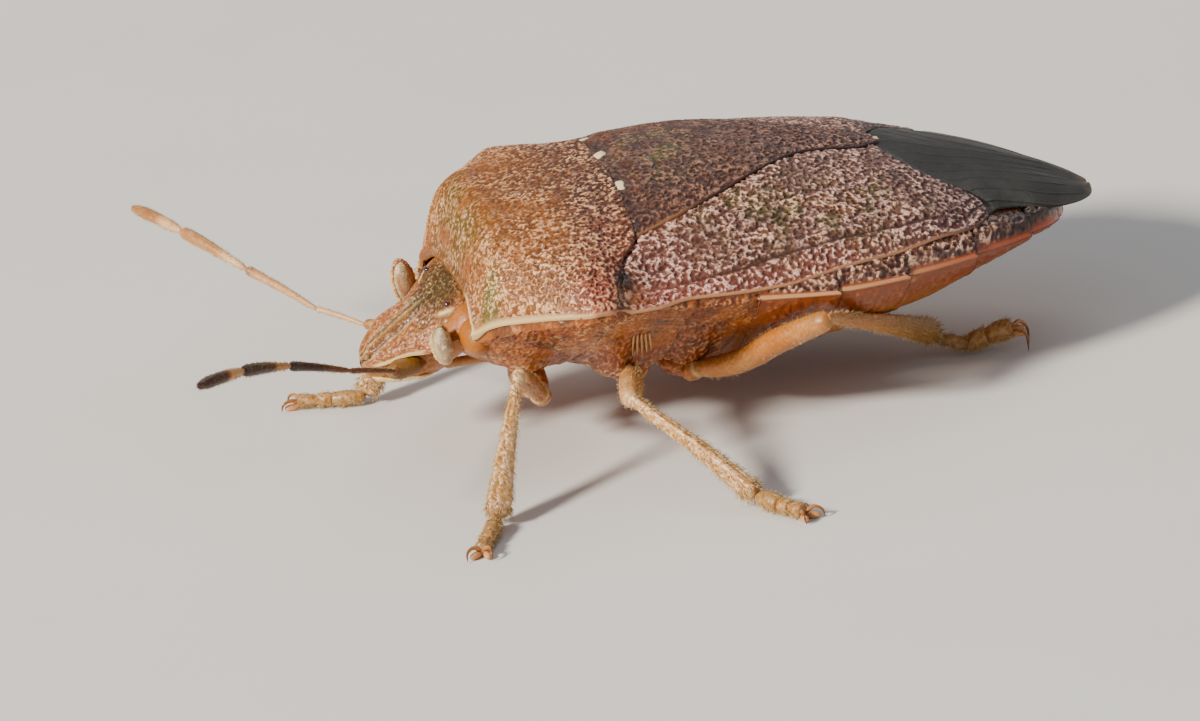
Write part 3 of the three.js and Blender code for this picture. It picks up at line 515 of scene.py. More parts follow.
def limb_horn(name, base, dark, pale, speck=0.7):
    m = Mat(name, base, rough=0.42, specular=0.5, coat=0.15, coat_rough=0.3, sss=0.10)
    m.over(dark, m.noise(1.6, 3, lo=0.40, hi=0.80), 0.22)
    m.over(pale, m.noise(14.0, 2, lo=0.48, hi=0.62), 0.40)
    m.over(lin(96, 58, 30), m.attr("dark"), speck)
    m.over(pale, m.attr("pale"))
    m.over(lin(204, 128, 40), m.attr("warm"))
    m.over(lin(120, 112, 48), m.attr("green"))
    m.over(lin(122, 30, 14), m.attr("red"))
    m.over(lin(52, 20, 12), m.math("MULTIPLY", m.attr("dark"), m.attr("red")))
    m.over(lin(30, 18, 12), m.attr("black"))
    m.bump(m.noise(26.0, 2, lo=0.2, hi=0.8), 4.0, 0.5)
    m.rough(m.noise(12.0, 2), 0.34, 0.52)
    return m.done()


LEG_M = limb_horn("straw_horn", lin(226, 168, 108), lin(196, 132, 72), lin(252, 220, 186))
FEELER_M = limb_horn("feeler_horn", lin(216, 144, 88), lin(184, 104, 54), lin(246, 206, 164), 0.8)

HAIR_M = Mat("bristle_gold", lin(222, 190, 140), rough=0.45, specular=0.5)
HAIR_M.over(lin(120, 76, 40), HAIR_M.attr("dark"))
HAIR_M.over(lin(248, 228, 190), HAIR_M.noise(5.0, 2), 0.4)
HAIR_M = HAIR_M.done()

EYE_M = Mat("eye_facets", lin(214, 184, 150), rough=0.30, specular=0.5, coat=0.35, coat_rough=0.12, sss=0.1)
EYE_M.over(lin(224, 204, 166), EYE_M.attr("pale"))
EYE_M.over(lin(54, 40, 30), EYE_M.attr("dark"))
EYE_M.over(lin(134, 130, 108), EYE_M.noise(7.0, 4, lo=0.44, hi=0.60), 0.42)
EYE_M.over(lin(246, 230, 204), EYE_M.noise(10.0, 3, lo=0.56, hi=0.66), 0.55)
EYE_M.over(lin(186, 122, 78), EYE_M.attr("warm"))
EYE_M = EYE_M.done()

OCELLUS_M = Mat("ocellus_glass", lin(36, 14, 8), rough=0.08, specular=0.6, coat=1.0, coat_rough=0.04)
OCELLUS_M.over(lin(120, 34, 12), OCELLUS_M.noise(9.0, 1), 0.5)
OCELLUS_M = OCELLUS_M.done()

FILM_M = Mat("wing_film", lin(58, 54, 42), rough=0.42, specular=0.3, coat=0.08, coat_rough=0.2, alpha=0.93)
FILM_M.over(lin(44, 44, 28), FILM_M.noise(0.9, 3, lo=0.35, hi=0.70), 0.7)
FILM_M.over(lin(96, 82, 62), FILM_M.noise(0.6, 4, lo=0.50, hi=0.80), 0.45)
FILM_M.over(lin(78, 72, 56), FILM_M.noise(3.5, 4, lo=0.48, hi=0.72), 0.35)
FILM_M.over(lin(50, 42, 30), FILM_M.attr("dark"))
FILM_M.over(lin(150, 128, 104), FILM_M.attr("warm"))
FILM_M.bump(FILM_M.noise(7.0, 3, lo=0.2, hi=0.8), 7.0, 0.6)
FILM_M = FILM_M.done()

CLAW_M = Mat("claw_horn", lin(176, 116, 62), rough=0.25, specular=0.5, coat=0.4, coat_rough=0.15)
CLAW_M.over(lin(70, 38, 22), CLAW_M.attr("dark"))
CLAW_M.over(lin(238, 180, 136), CLAW_M.attr("pale"))
CLAW_M.over(lin(168, 110, 56), CLAW_M.noise(7.0, 2), 0.4)
CLAW_M = CLAW_M.done()


# --------------------------------------------------------------- granulation
def granules(p, size, seed, warp=0.03):
    """Raised grains, the grooves between them and each grain's own number."""
    w = np.stack([noise(p, 0.16, seed + k) for k in (1, 2, 3)], -1) - 0.5
    f1, f2, own = cells(p + w * warp * 2, size, seed)
    return 1 - smooth(0.22, 0.56, f1), 1 - smooth(0.03, 0.26, f2 - f1), own


def pits(p, size, seed):
    """Low in the punctures, high on the worm-like ridges between them; 0.5 is the level of the plate."""
    w = np.stack([noise(p, 1.3 * size, seed + k) for k in (1, 2, 3)], -1) - 0.5
    f1, f2, own = cells(p + w * 1.1 * size, size, seed, 0.9)
    return np.clip(f1 + (noise(p, 0.75 * size, seed + 9) - 0.5) * 0.7, 0, 1.4)


def relief(v):
    """Height of the punctured surface, from pits()."""
    return 0.014 * smooth(0.45, 0.80, v) - 0.016 * (1 - smooth(0.16, 0.46, v))


# -------------------------------------------------------------- the back shell
Q = 0.017


def pronotum():
    t = spaced(3.6, Q) ** 1.3; q = spaced(9.4, Q) * 2 - 1
    T, K = np.meshgrid(t, q, indexing="ij")
    # columns spread out where the sides are steep
    K = np.sin(K * 1.18) / math.sin(1.18)
    x = 2.4 + 3 * T
    for _ in range(14):
        y = K * width(x)
        x = front_edge(np.abs(y)) * (1 - T) + hind_edge(np.abs(y)) * T
    y = K * width(x)
    p = np.stack([x, y, back(x, y)], -1)
    dF, dH, dL, dR = from_edges(p); side = np.minimum(dL, dR)
    ay = np.abs(y)
    h = np.zeros_like(x)
    calli = bell((x - 2.98 - 0.05 * ay) / 0.20) * bell((ay - 1.02) / 0.62)
    h += 0.022 * calli - 0.075 * bell((x - 3.80) / 0.60) * bell((y - 2.35) / 0.75)
    h -= 0.030 * bell((dF - 0.20) / 0.09) * smooth(0.1, 0.5, side)
    h -= 0.018 * bell((x - 3.35 - 0.06 * ay) / 0.12) * bell((ay - 1.2) / 1.3)
    fore = smooth(4.55, 2.9, x)
    h += (0.018 + 0.020 * fore) * bell(side / 0.060) * smooth(4.75, 4.35, x) - 0.028 * bell((side - 0.16) / 0.07) * smooth(4.5, 4.0, x)
    h += 0.05 * (noise(p, 1.1, 3, 2) - 0.5) * smooth(0, 0.6, side)
    v = pits(p, 0.074, 11)
    calm = smooth(0.035 + 0.055 * fore, 0.10 + 0.06 * fore, side + 0.3 * smooth(4.5, 4.8, x)) * (1 - 0.7 * bell(dH / 0.04)) * (1 - 0.9 * bell(dF / 0.06))
    rough = calm * (1 - 0.45 * calli)
    h += rough * relief(v)
    h -= rounded(dH, 0.06) + rounded(dF, 0.035) + rounded(side, 0.045)
    p[..., 2] += 0.035
    p = raise_up(p, h)
    big, mid = noise(p, 0.9, 5, 3), noise(p, 0.36, 7, 2)
    behind = smooth(4.15, 5.25, x + 0.12 * ay + 0.5 * (big - 0.5))
    # the lower sides are painted lighter (more pale grains, pink and a little cream) and the top near the midline
    # darker (shade below): painted light and painted shade of a light falling low from the front
    low = smooth(1.2, 3.4, ay)
    bloom = rough * np.clip(0.42 + 1.75 * (mid - 0.43) + 0.26 * behind + 0.38 * low, 0.10, 1.0)
    warm = np.clip(smooth(4.5, 2.8, x) * 0.80 + 0.5 * smooth(0.45, 0.75, noise(p, 1.4, 8, 2)) - 0.5 * behind, 0, 1)
    cool = np.clip(behind * (0.72 + 0.5 * (big - 0.4)) * (1 - 0.65 * low), 0, 0.95)
    pink = np.clip(0.35 * low * behind + 0.38 * bell((ay - 3.75) / 0.35) * smooth(3.5, 4.4, x), 0, 0.6)
    green = np.clip(0.95 * bell((x - 2.69) / 0.17) * bell((ay - 2.18) / 0.24) + 0.50 * calli * smooth(0.30, 0.6, noise(p, 0.5, 6, 2))
                    + 0.55 * bell((x - 2.72) / 0.25) * bell((ay - 0.3) / 0.9) * smooth(0.3, 0.55, mid), 0, 0.85)
    cream = np.clip(1.25 * bell(side / (0.045 + 0.045 * fore)) * smooth(4.70, 4.30, x) + 0.95 * bell((dF - 0.045) / 0.026) * smooth(-1.10, -1.4, y), 0, 1)
    pink = np.clip(pink + cream * smooth(3.5, 4.3, x), 0, 0.8); cream = cream * (1 - 0.55 * smooth(3.6, 4.5, x))
    speck = rough * np.clip(0.60 + 0.20 * behind + 0.5 * (mid - 0.5) - 0.10 * fore, 0, 0.95)
    shade = 0.55 * bell(dH / 0.05) * smooth(3.9, 3.0, ay) + 0.35 * bell((dF - 0.16) / 0.06) * smooth(1.9, 1.0, ay)
    # painted shadow: a blue-black blot at each hind corner, where the wing case goes in under the pronotum
    black = 0.72 * bell(np.hypot(dH / 0.19, (ay - 3.42) / 0.32) * (0.8 + 0.5 * mid))
    s = Soup()
    s.plate(p, drop=0.06 + 0.05 * smooth(0.35, 0.05, dF) + 0.10 * smooth(0.25, 0.05, dH) * smooth(3.95, 3.5, ay), inset=0.09, grain=v, bloom=bloom, speck=speck, warm=warm, cool=cool, green=green,
            pink=pink, cream=np.clip(cream + 0.02 * low, 0, 1), ivory=0.0, shade=np.clip(shade + 0.15 * smooth(2.4, 0.6, ay), 0, 1), black=black)
    return s.build("pronotum_shell", SHELL, "back_shell", ["pronotum"])


def scutellum():
    t = spaced(5.5, Q); q = spaced(4.4, Q) * 2 - 1
    T, K = np.meshgrid(t, q, indexing="ij")
    x = 5.12 + (10.71 - 5.12) * T
    for _ in range(8):
        y = K * (scutellum_side(x) - 0.01)
        x = (hind_edge(np.abs(y)) - 0.22) * (1 - T) + 10.71 * T
    y = K * (scutellum_side(x) - 0.01)
    p = np.stack([x, y, back(x, y)], -1)
    dF, dH, dL, dR = from_edges(p); side = np.minimum(dL, dR); ay = np.abs(y)
    p[..., 2] += 0.030 - 0.085 * smooth(0.42, 0.10, dF)
    h = 0.04 * smooth(0, 0.5, side) * smooth(10.7, 9.8, x)
    h += 0.045 * (noise(p, 1.0, 23, 2) - 0.5)
    h -= 0.05 * bell((x - 5.62) / 0.16) * smooth(2.3, 1.9, ay)
    v = pits(p, 0.080, 41)
    calm = smooth(0.012, 0.05, side)
    wob = noise(p, 0.10, 27) - 0.5
    dots = sum(bell(np.hypot((x - 5.435) / 0.125, (y - c) / 0.14) * (1 + 0.9 * wob)) for c in (-1.24, 0.0, 1.24))
    rough = calm * (1 - np.clip(1.3 * dots, 0, 1))
    h += rough * relief(v) + 0.028 * np.clip(dots, 0, 1)
    h -= rounded(side, 0.035) + rounded(dH, 0.035)
    p = raise_up(p, h)
    big, mid = noise(p, 1.0, 25, 3), noise(p, 0.34, 26, 2)
    rear = smooth(7.2, 10.2, x)
    bloom = rough * np.clip(0.30 + 1.2 * (mid - 0.42) + 0.30 * rear, 0.06, 0.9)
    edge_line = bell(side / 0.045) * smooth(5.3, 5.6, x) * smooth(6.9, 6.0, x)
    warm = np.clip(0.75 * smooth(0.5, 0.72, noise(p, 1.3, 28, 2)) * smooth(8.6, 6.4, x) + 0.6 * edge_line, 0, 1)
    cool = np.clip(0.30 + 0.35 * rear + 0.7 * (big - 0.5), 0, 0.9) * (1 - edge_line)
    green = np.clip(0.60 * bell((x - 6.3) / 0.7) * bell((y + 0.2) / 0.9) * smooth(0.42, 0.7, mid), 0, 0.5)
    speck = rough * np.clip(0.62 + 0.6 * (mid - 0.5), 0.3, 0.95)
    shade = np.clip(0.5 * bell((x - 5.46) / 0.08) * smooth(2.35, 2.0, ay) + 0.55 * bell(side / 0.020) * smooth(6.3, 7.2, x), 0, 1)
    black = np.clip(0.7 * bell(np.hypot((x - 5.44) / 0.12, (ay - 2.30) / 0.12)), 0, 1)
    s = Soup()
    # ivory: the three pale spots at the base are real; the spot at the tip is a painted highlight
    s.plate(p, drop=0.13, inset=0.05, grain=v, bloom=bloom, speck=speck, warm=warm, cool=cool, green=green, pink=0.35 * edge_line, cream=0.25 * edge_line,
            ivory=np.clip(1.2 * dots + 0.9 * bell(np.hypot((x - 10.64) / 0.06, y / 0.10)), 0, 1), shade=shade, black=black)
    return s.build("scutellum_shell", SCUTEL, "back_shell", ["scutellum"])


def along(pts, n=400):
    """Even points along a polyline in plan, and a function of 0 to 1."""
    pts = np.asarray(pts, float); d = np.concatenate([[0], np.cumsum(np.linalg.norm(np.diff(pts, axis=0), axis=1))])
    return lambda u: np.stack([np.interp(np.asarray(u) * d[-1], d, pts[:, k]) for k in (0, 1)], -1)


VEIN_R = [(4.95, 3.50), (5.73, 3.46), (6.41, 3.41), (7.23, 3.36), (7.77, 3.27), (8.53, 3.19), (9.20, 3.08), (10.22, 2.88), (11.0, 2.66)]
VEIN_M = [(5.28, 3.36), (6.13, 2.94), (6.83, 2.67), (7.35, 2.40), (8.3, 2.15), (9.2, 1.95)]
CLAVUS = [(5.35, 2.98), (6.4, 2.62), (7.5, 2.16), (8.5, 1.55), (9.4, 1.02), (10.0, 0.86)]


def corium(side):
    xs = np.linspace(5.12, 10.60, 200)
    inner = along(np.stack([xs, scutellum_side(xs) - 0.07], -1))
    xo = np.linspace(4.50, 12.03, 200)
    outer = along(np.stack([xo, wing_width(xo)], -1))
    ys = np.linspace(scutellum_side(10.60) - 0.07, wing_width(12.03), 200)
    rear = along(np.stack([np.minimum(seam(ys), 12.05), ys], -1))
    yf = np.linspace(scutellum_side(5.12) - 0.07, wing_width(4.5), 200)
    fore = along(np.stack([hind_edge(yf) - 0.20, yf], -1))
    u = spaced(6.9, Q); v = spaced(3.0, Q)
    U, W = np.meshgrid(u, v, indexing="ij")
    I, O, F, R = inner(U), outer(U), fore(W), rear(W)
    c00, c01, c10, c11 = (0.5 * (a + b) for a, b in ((inner(0), fore(0)), (outer(0), fore(1)), (inner(1), rear(0)), (outer(1), rear(1))))
    w, uu = W[..., None], U[..., None]
    xy = (1 - w) * I + w * O + (1 - uu) * F + uu * R - ((1 - uu) * (1 - w) * c00 + (1 - uu) * w * c01 + uu * (1 - w) * c10 + uu * w * c11)
    x, y = xy[..., 0], xy[..., 1]
    p = np.stack([x, y, back(x, y)], -1)
    dF, dH, dI, dO = from_edges(p)
    p[..., 2] += -0.085 * smooth(0.40, 0.12, dF) - 0.030 * smooth(0.14, 0.05, dI) - (0.075 * smooth(10.4, 11.1, x) * smooth(2.7, 2.1, y) if side > 0 else 0)
    fur_r, fur_m, fur_c = (to_line(x, y, v) for v in (VEIN_R, VEIN_M, CLAVUS))
    h = -0.030 * bell(fur_r / 0.045) + 0.020 * bell((fur_r - 0.12) / 0.08)
    h += -0.018 * bell(fur_m / 0.04) - 0.022 * bell(fur_c / 0.035)
    h += 0.050 * (noise(p, 0.9, 33 + side, 2) - 0.5)
    h += 0.014 * bell(dO / 0.04)
    flat = np.stack([x, y * side, p[..., 2]], -1)
    v = pits(flat, 0.086, 51 + side)
    calm = smooth(0.010, 0.045, dO) * smooth(0.005, 0.04, dH) * (1 - 0.6 * bell(fur_r / 0.03)) * (1 - 0.5 * bell(fur_c / 0.03))
    h += calm * relief(v) * 1.1
    h -= rounded(dO, 0.035) + rounded(dH, 0.03)
    p = raise_up(p, h)
    big, mid = noise(flat, 0.8, 35 + side, 3), noise(flat, 0.32, 36 + side, 2)
    centre = bell((x - 8.6) / 2.1) * bell((y - 2.35) / 0.85)
    spot = np.maximum(bell(np.hypot((x - 8.05) / 0.20, (y - 2.62) / 0.17)), bell(np.hypot((x - 10.55) / 0.18, (y - 1.62) / 0.2)))
    corner = bell(np.hypot((x - 4.93) / 0.40, (y - 3.62) / 0.30))
    # lower: the outer, lower strip is painted lighter and pinker, with fewer dark pits: painted light of a light
    # falling low
    lower = smooth(0.62, 0.30, dO)
    bloom = calm * np.clip(0.62 + 1.70 * (mid - 0.44) + 0.20 * centre + 0.48 * lower + 0.32 * smooth(7.2, 5.4, x) - 0.12 * smooth(9.5, 11.0, x), 0.12, 1.0) * (1 - 0.8 * spot) * (1 - 0.75 * corner)
    bloom *= 1 - 0.6 * bell(fur_r / 0.03)
    warm = np.clip(0.85 * corner + 0.65 * centre * smooth(0.45, 0.7, mid), 0, 1)
    cool = np.clip(0.12 + 0.65 * smooth(9.3, 11.8, x) + 0.6 * (big - 0.5) - 0.5 * centre, 0, 0.9) * (1 - corner)
    green = np.clip(0.50 * centre * smooth(0.42, 0.7, noise(flat, 0.35, 39, 2)), 0, 0.5)
    speck = calm * np.clip(0.62 + 0.5 * (mid - 0.5) + 0.5 * (big - 0.5), 0.3, 1.0) * (1 - 0.4 * corner) * (1 - 0.45 * lower) * (1 - 0.40 * smooth(7.0, 5.4, x))
    shade = np.clip(0.62 * bell(fur_r / 0.026) * smooth(5.4, 6.2, x) + 0.35 * bell(fur_c / 0.022) + 0.30 * bell(fur_m / 0.022) + 0.5 * spot + 0.6 * bell(dH / 0.04)
                    + 0.55 * smooth(0.35, 0.05, dH) * smooth(2.2, 2.7, y) + (0.6 * smooth(10.6, 11.2, x) * smooth(2.7, 2.1, y) if side > 0 else 0), 0, 1)
    rim = bell(dO / 0.030) * smooth(12.0, 10.2, x)
    pink = np.clip(1.0 * rim + (0.17 * lower * smooth(11.0, 8.0, x) + 0.12 * smooth(7.2, 5.6, x)) * smooth(4.6, 5.2, x), 0, 0.85)
    cream = np.clip(0.45 * rim, 0, 0.6)
    # painted shadow: a blue-black blot at the front corner, under the pronotum's hind corner
    black = np.clip(0.72 * bell(np.hypot((x - 4.93) / 0.19, (y - 3.34) / 0.28) * (0.8 + 0.5 * mid)), 0, 1)
    p[..., 1] *= side
    s = Soup()
    s.plate(p, drop=0.045 + 0.08 * smooth(0.25, 0.05, dI), inset=0.06, grain=v, bloom=bloom, speck=speck, warm=warm, cool=cool, green=green, pink=pink, cream=cream, ivory=0.0,
            shade=shade, black=black)
    name = "left" if side < 0 else "right"
    return s.build("corium_" + name, CORIUM, "back_shell", ["wing_case_" + name])


def film(side):
    """One folded membrane; the left one lies uppermost and reaches past the midline."""
    t = spaced(4.2, 0.035, (0, 0.02, 0.05)); q = spaced(4.4, 0.035, (0, 0.012, 0.03))
    T, K = np.meshgrid(t, q, indexing="ij")
    inner = (lambda x: -(0.30 + 0.10 * (x - 10.6)) * smooth(14.66, 13.9, x)) if side < 0 else (lambda x: -0.9 * smooth(14.6, 13.2, x))
    outer = lambda x: (wing_width(np.minimum(x, 12.05)) - 0.06) * smooth(12.30, 11.85, x) + membrane_width(x) * smooth(11.85, 12.30, x)
    x = 10.4 + 4.2 * T
    for _ in range(36):
        o = outer(x)
        y = inner(x) * (1 - K) + o * K
        x = 0.5 * x + 0.5 * ((seam(np.abs(y)) - 0.10) * (1 - T) + (14.655 - 0.05 * (1 - K)) * T)
    o = outer(x)
    y = inner(x) * (1 - K) + o * K
    z = back(x, y) - (0.030 if side < 0 else 0.060) - 0.045 * smooth(0.30, 0.10, x - seam(np.abs(y)) + 0.1)
    p = np.stack([x, y, z], -1)
    d0, d1, dI, dO = from_edges(p)
    veins, h = np.zeros_like(x), np.zeros_like(x)
    for k in range(7):
        line = K - (0.08 + 0.135 * k + 0.04 * np.sin(2.2 * T + k) + 0.03 * T * (k - 3))
        w = np.abs(line) * (o - inner(x))
        veins = np.maximum(veins, bell(w / 0.024) * smooth(0.05, 0.14, T) * smooth(0.98, 0.80, T))
    h += 0.010 * veins + 0.040 * (noise(p, 0.7, 63 + side, 2) - 0.5)
    h += 0.012 * np.sin(9 * K + 3 * T) * smooth(0, 0.2, T)
    h -= rounded(np.minimum(dI, np.minimum(dO, d1)), 0.012)
    p = raise_up(p, h)
    p[..., 1] *= side
    warm = np.clip(0.6 * smooth(14.30, 14.62, x) + 0.5 * bell(np.hypot(x - 14.45, y - 0.55) / 0.06), 0, 1)
    s = Soup()
    s.plate(p, drop=0.02, inset=0.02, thin=0.0, dark=np.clip(0.26 * veins + 0.35 * bell(dO / 0.03) + 0.5 * smooth(0.10, 0.02, T), 0, 1), warm=warm)
    name = "left" if side < 0 else "right"
    return s.build("membrane_" + name, FILM_M, "membrane", ["wing_membrane_" + name])


# --------------------------------------------------------------------- trunk
STEPS = [(7.29, 3.74), (8.78, 3.86), (10.16, 3.60), (11.60, 3.04), (12.82, 2.26), (13.62, 1.45), (14.03, 0.30)]


def rim_width(x):
    """Half width of the abdomen's edge: each segment's hind corner stands out a little."""
    w = width(x)
    for a, b in zip([5.9] + [s[0] for s in STEPS[:-1]], [s[0] for s in STEPS]):
        t = np.clip((x - a) / (b - a), 0, 1)
        inside = (x >= a) & (x < b)
        w = w + np.where(inside, (0.075 * t**2.2 - 0.050 * (1 - t) ** 2) * smooth(6.9, 7.4, x) * smooth(14.0, 13.2, x), 0)
    return w - 0.16 * smooth(7.293, 7.287, x)


def abdomen():
    xs = np.unique(np.concatenate([np.arange(6.9, 14.03, 0.026)] + [np.array([-0.012, -0.004, 0.004, 0.012]) + s[0] for s in STEPS[:-1]] + [[14.03]]))
    n = 160
    yb = np.sin(np.linspace(-1, 1, n) * math.pi / 2)
    X, K = np.meshgrid(xs, yb, indexing="ij")
    w = rim_width(X)
    top = edge(X) - 0.02
    y = K * w
    z = under(X, y, w, top - 0.05) - 0.30 * bell((X - 7.22) / 0.60) * bell((np.abs(y) - 1.65) / 0.9)
    ay = np.abs(K)
    low = np.stack([X, y, z], -1)
    # segment seams arch forwards under the belly
    seg, spir, bulge = np.zeros_like(X), np.zeros_like(X), np.zeros_like(X)
    edges = [5.9] + [s[0] for s in STEPS]
    for a, b in zip(edges[:-1], edges[1:]):
        off = -0.38 * (1 - ay**2) * smooth(13.5, 11.0, X)
        seg = np.maximum(seg, bell((X - b - off) / 0.026))
        spir = np.maximum(spir, bell(np.hypot((X - (a + b) / 2 - 0.1) / 0.05, (ay - 0.80) * w / 0.06)))
        t = np.clip((X - a - off) / (b - a), 0, 1)
        bulge += np.where((X - a - off >= 0) & (X - b - off < 0), 4 * t * (1 - t), 0)
    v = pits(low * np.array([1, 0.8, 0.8]), 0.09, 71)
    shy = smooth(0.35, 0.75, ay)
    h = -0.026 * seg + 0.022 * bulge + 0.014 * spir + 0.6 * relief(v) * shy + 0.03 * (noise(low, 0.8, 73, 2) - 0.5) * smooth(1, 0.9, ay)
    h *= smooth(1.0, 0.985, ay)
    nrm = normals(low)
    if nrm[..., 2].sum() > 0:
        nrm = -nrm
    low = low + nrm * h[..., None]
    # over the edge: a rounded rim, then a strip that carries on the slope of the wing case and goes in under it
    steps = np.concatenate([[0.0, 0.006, 0.018, 0.036], np.arange(0.055, 0.56, 0.020), [0.64]])
    rise = np.array([-0.022, 0.012, 0.034, 0.047] + [0.052] * (len(steps) - 4))
    wx = rim_width(xs); tz = edge(xs) - 0.07
    f = np.minimum(1, wx / 1.2)
    side_cols = []
    for dy, dz in zip(steps, rise):
        yy = np.maximum(wx - dy * f, 0.02)
        slope = back(xs, yy) - 0.060 - (tz + 0.05)
        zz = tz + dz + np.clip(slope, 0, 2) * smooth(0.02, 0.16, dy) - 0.06 * smooth(0.34, 0.50, dy) * smooth(11.5, 12.5, xs)
        side_cols.append(np.stack([xs, yy, zz], -1))
    c = np.stack(side_cols, 1)
    d = steps[None] + 0 * c[..., 0]
    cv = pits(c, 0.086, 77)
    on = smooth(0.055, 0.10, d) * smooth(0.62, 0.5, d)
    notch = np.zeros_like(d)
    for s_ in STEPS[:-1]:
        notch = np.maximum(notch, bell((c[..., 0] - s_[0]) / 0.030) * smooth(0.0, 0.05, d))
    c[..., 2] += on * relief(cv) - 0.030 * notch
    right = c.copy(); left = c * np.array([1, -1, 1])
    right[..., 2] -= 0.085 * smooth(10.2, 11.2, c[..., 0]) * smooth(13.7, 13.1, c[..., 0]) * smooth(0.0, 0.05, d)
    inner = np.stack([np.stack([xs, g * np.maximum(wx - 0.66, 0.02) * 0.6, back(xs, 0 * xs + g * 0.3) - 0.55], -1) for g in (1, 0.4, -0.4, -1)], 1)
    ring = np.concatenate([low, right, inner, left[:, ::-1]], 1)
    z4 = np.zeros((len(xs), 4))
    A = lambda a, b, k=0.0: np.concatenate([np.clip(a + 0 * K, 0, 1), np.clip(b + 0 * d, 0, 1), z4 + k, np.clip((b + 0 * d)[:, ::-1], 0, 1)], 1)
    near = smooth(0.80, 0.985, ay); rear = smooth(9.5, 13.0, X); cr = smooth(8.5, 12.5, c[..., 0])
    mid = noise(low, 0.4, 74, 2); cm = noise(c, 0.34, 78, 2)
    rim = smooth(0.062, 0.030, d) * smooth(7.27, 7.30, c[..., 0])
    # a thin pale line on the belly's side: painted highlight along a suture
    line = bell((ay - 0.905) / 0.006) * smooth(8.0, 8.4, X) * smooth(9.5, 9.1, X)
    s = Soup()
    s.tube(ring, grain=A(v * 0.8, cv), bloom=A(shy * np.clip(0.12 + 0.8 * (mid - 0.45), 0, 0.6) * (1 - rear), on * np.clip(0.66 + 1.3 * (cm - 0.42), 0.2, 1) * (1 - 0.75 * smooth(11.9, 12.6, c[..., 0]))),
           speck=A(shy * 0.22 * (1 - 0.5 * rear), on * 0.85), warm=A(0.65 * smooth(0.95, 0.4, ay) * smooth(0.35, 0.6, noise(low, 0.9, 79, 2)), 0.0),
           cool=A(near * (0.20 + 0.70 * rear), 0.0), amber=A(0.45 * (1 - 0.7 * near), 0.0), pink=A(0.0, rim * (0.85 - 0.25 * cr)), cream=A(0.75 * line + 0.3 * spir, rim * (0.50 - 0.45 * cr)),
           shade=A(0.35 * seg + 0.8 * bell((spir - 1) / 0.18) * spir, 0.85 * notch + 0.7 * smooth(11.75, 12.6, c[..., 0]) * on, 1.0), back=A(0.0, on, 1.0), green=A(0.12 * (1 - near), 0.0), ivory=0.0, black=0.0)
    return s.build("abdomen_skin", BELLY_M, "underside", ["abdomen"])


HIPS = [(3.56, 1.15, 0.42), (5.42, 1.50, 0.50), (6.50, 1.52, 0.50)]


def chest_width(x):
    return np.minimum(width(x) - 0.05, wing_width(np.maximum(x, 4.5)) - 0.03 + 9 * smooth(4.6, 4.4, x)) - 0.10 * smooth(3.0, 2.4, x)


def chest(x, K):
    """Half of the breast's surface: width, height and hip lobe at a share K of the width."""
    w = chest_width(x)
    up = np.clip(np.abs(K) - 1, 0, 1) * 10 * smooth(2.45, 2.72, x)
    y = np.clip(K, -1, 1) * w
    z = under(x, y, w, edge(x) - 0.10)
    ay = np.abs(y); lobe = np.zeros_like(y)
    for (hx, hy, _), at, r, amount in zip(HIPS, (-0.08, -0.24, -0.05), (0.50, 0.74, 0.56), (0.74, 1.0, 0.84)):
        lobe = np.maximum(lobe, amount * bell(np.hypot((x - hx - at) / np.where(x > hx + at, r * (1.25 if hx > 6 else 1.0), r), (ay - hy - 0.22) / 0.62)))
    fill = bell((ay - 1.75) / 0.75) * smooth(4.5, 5.0, x) * smooth(7.2, 6.4, x)
    z = z - (0.42 * lobe + 0.16 * fill) * smooth(0.0, 0.35, np.abs(K)) + 0.13 * bell(y / 0.20)
    z = z + up * (back(x, w) - 0.05 - (edge(x) - 0.10))
    return y * (1 + 0.04 * lobe), z, lobe


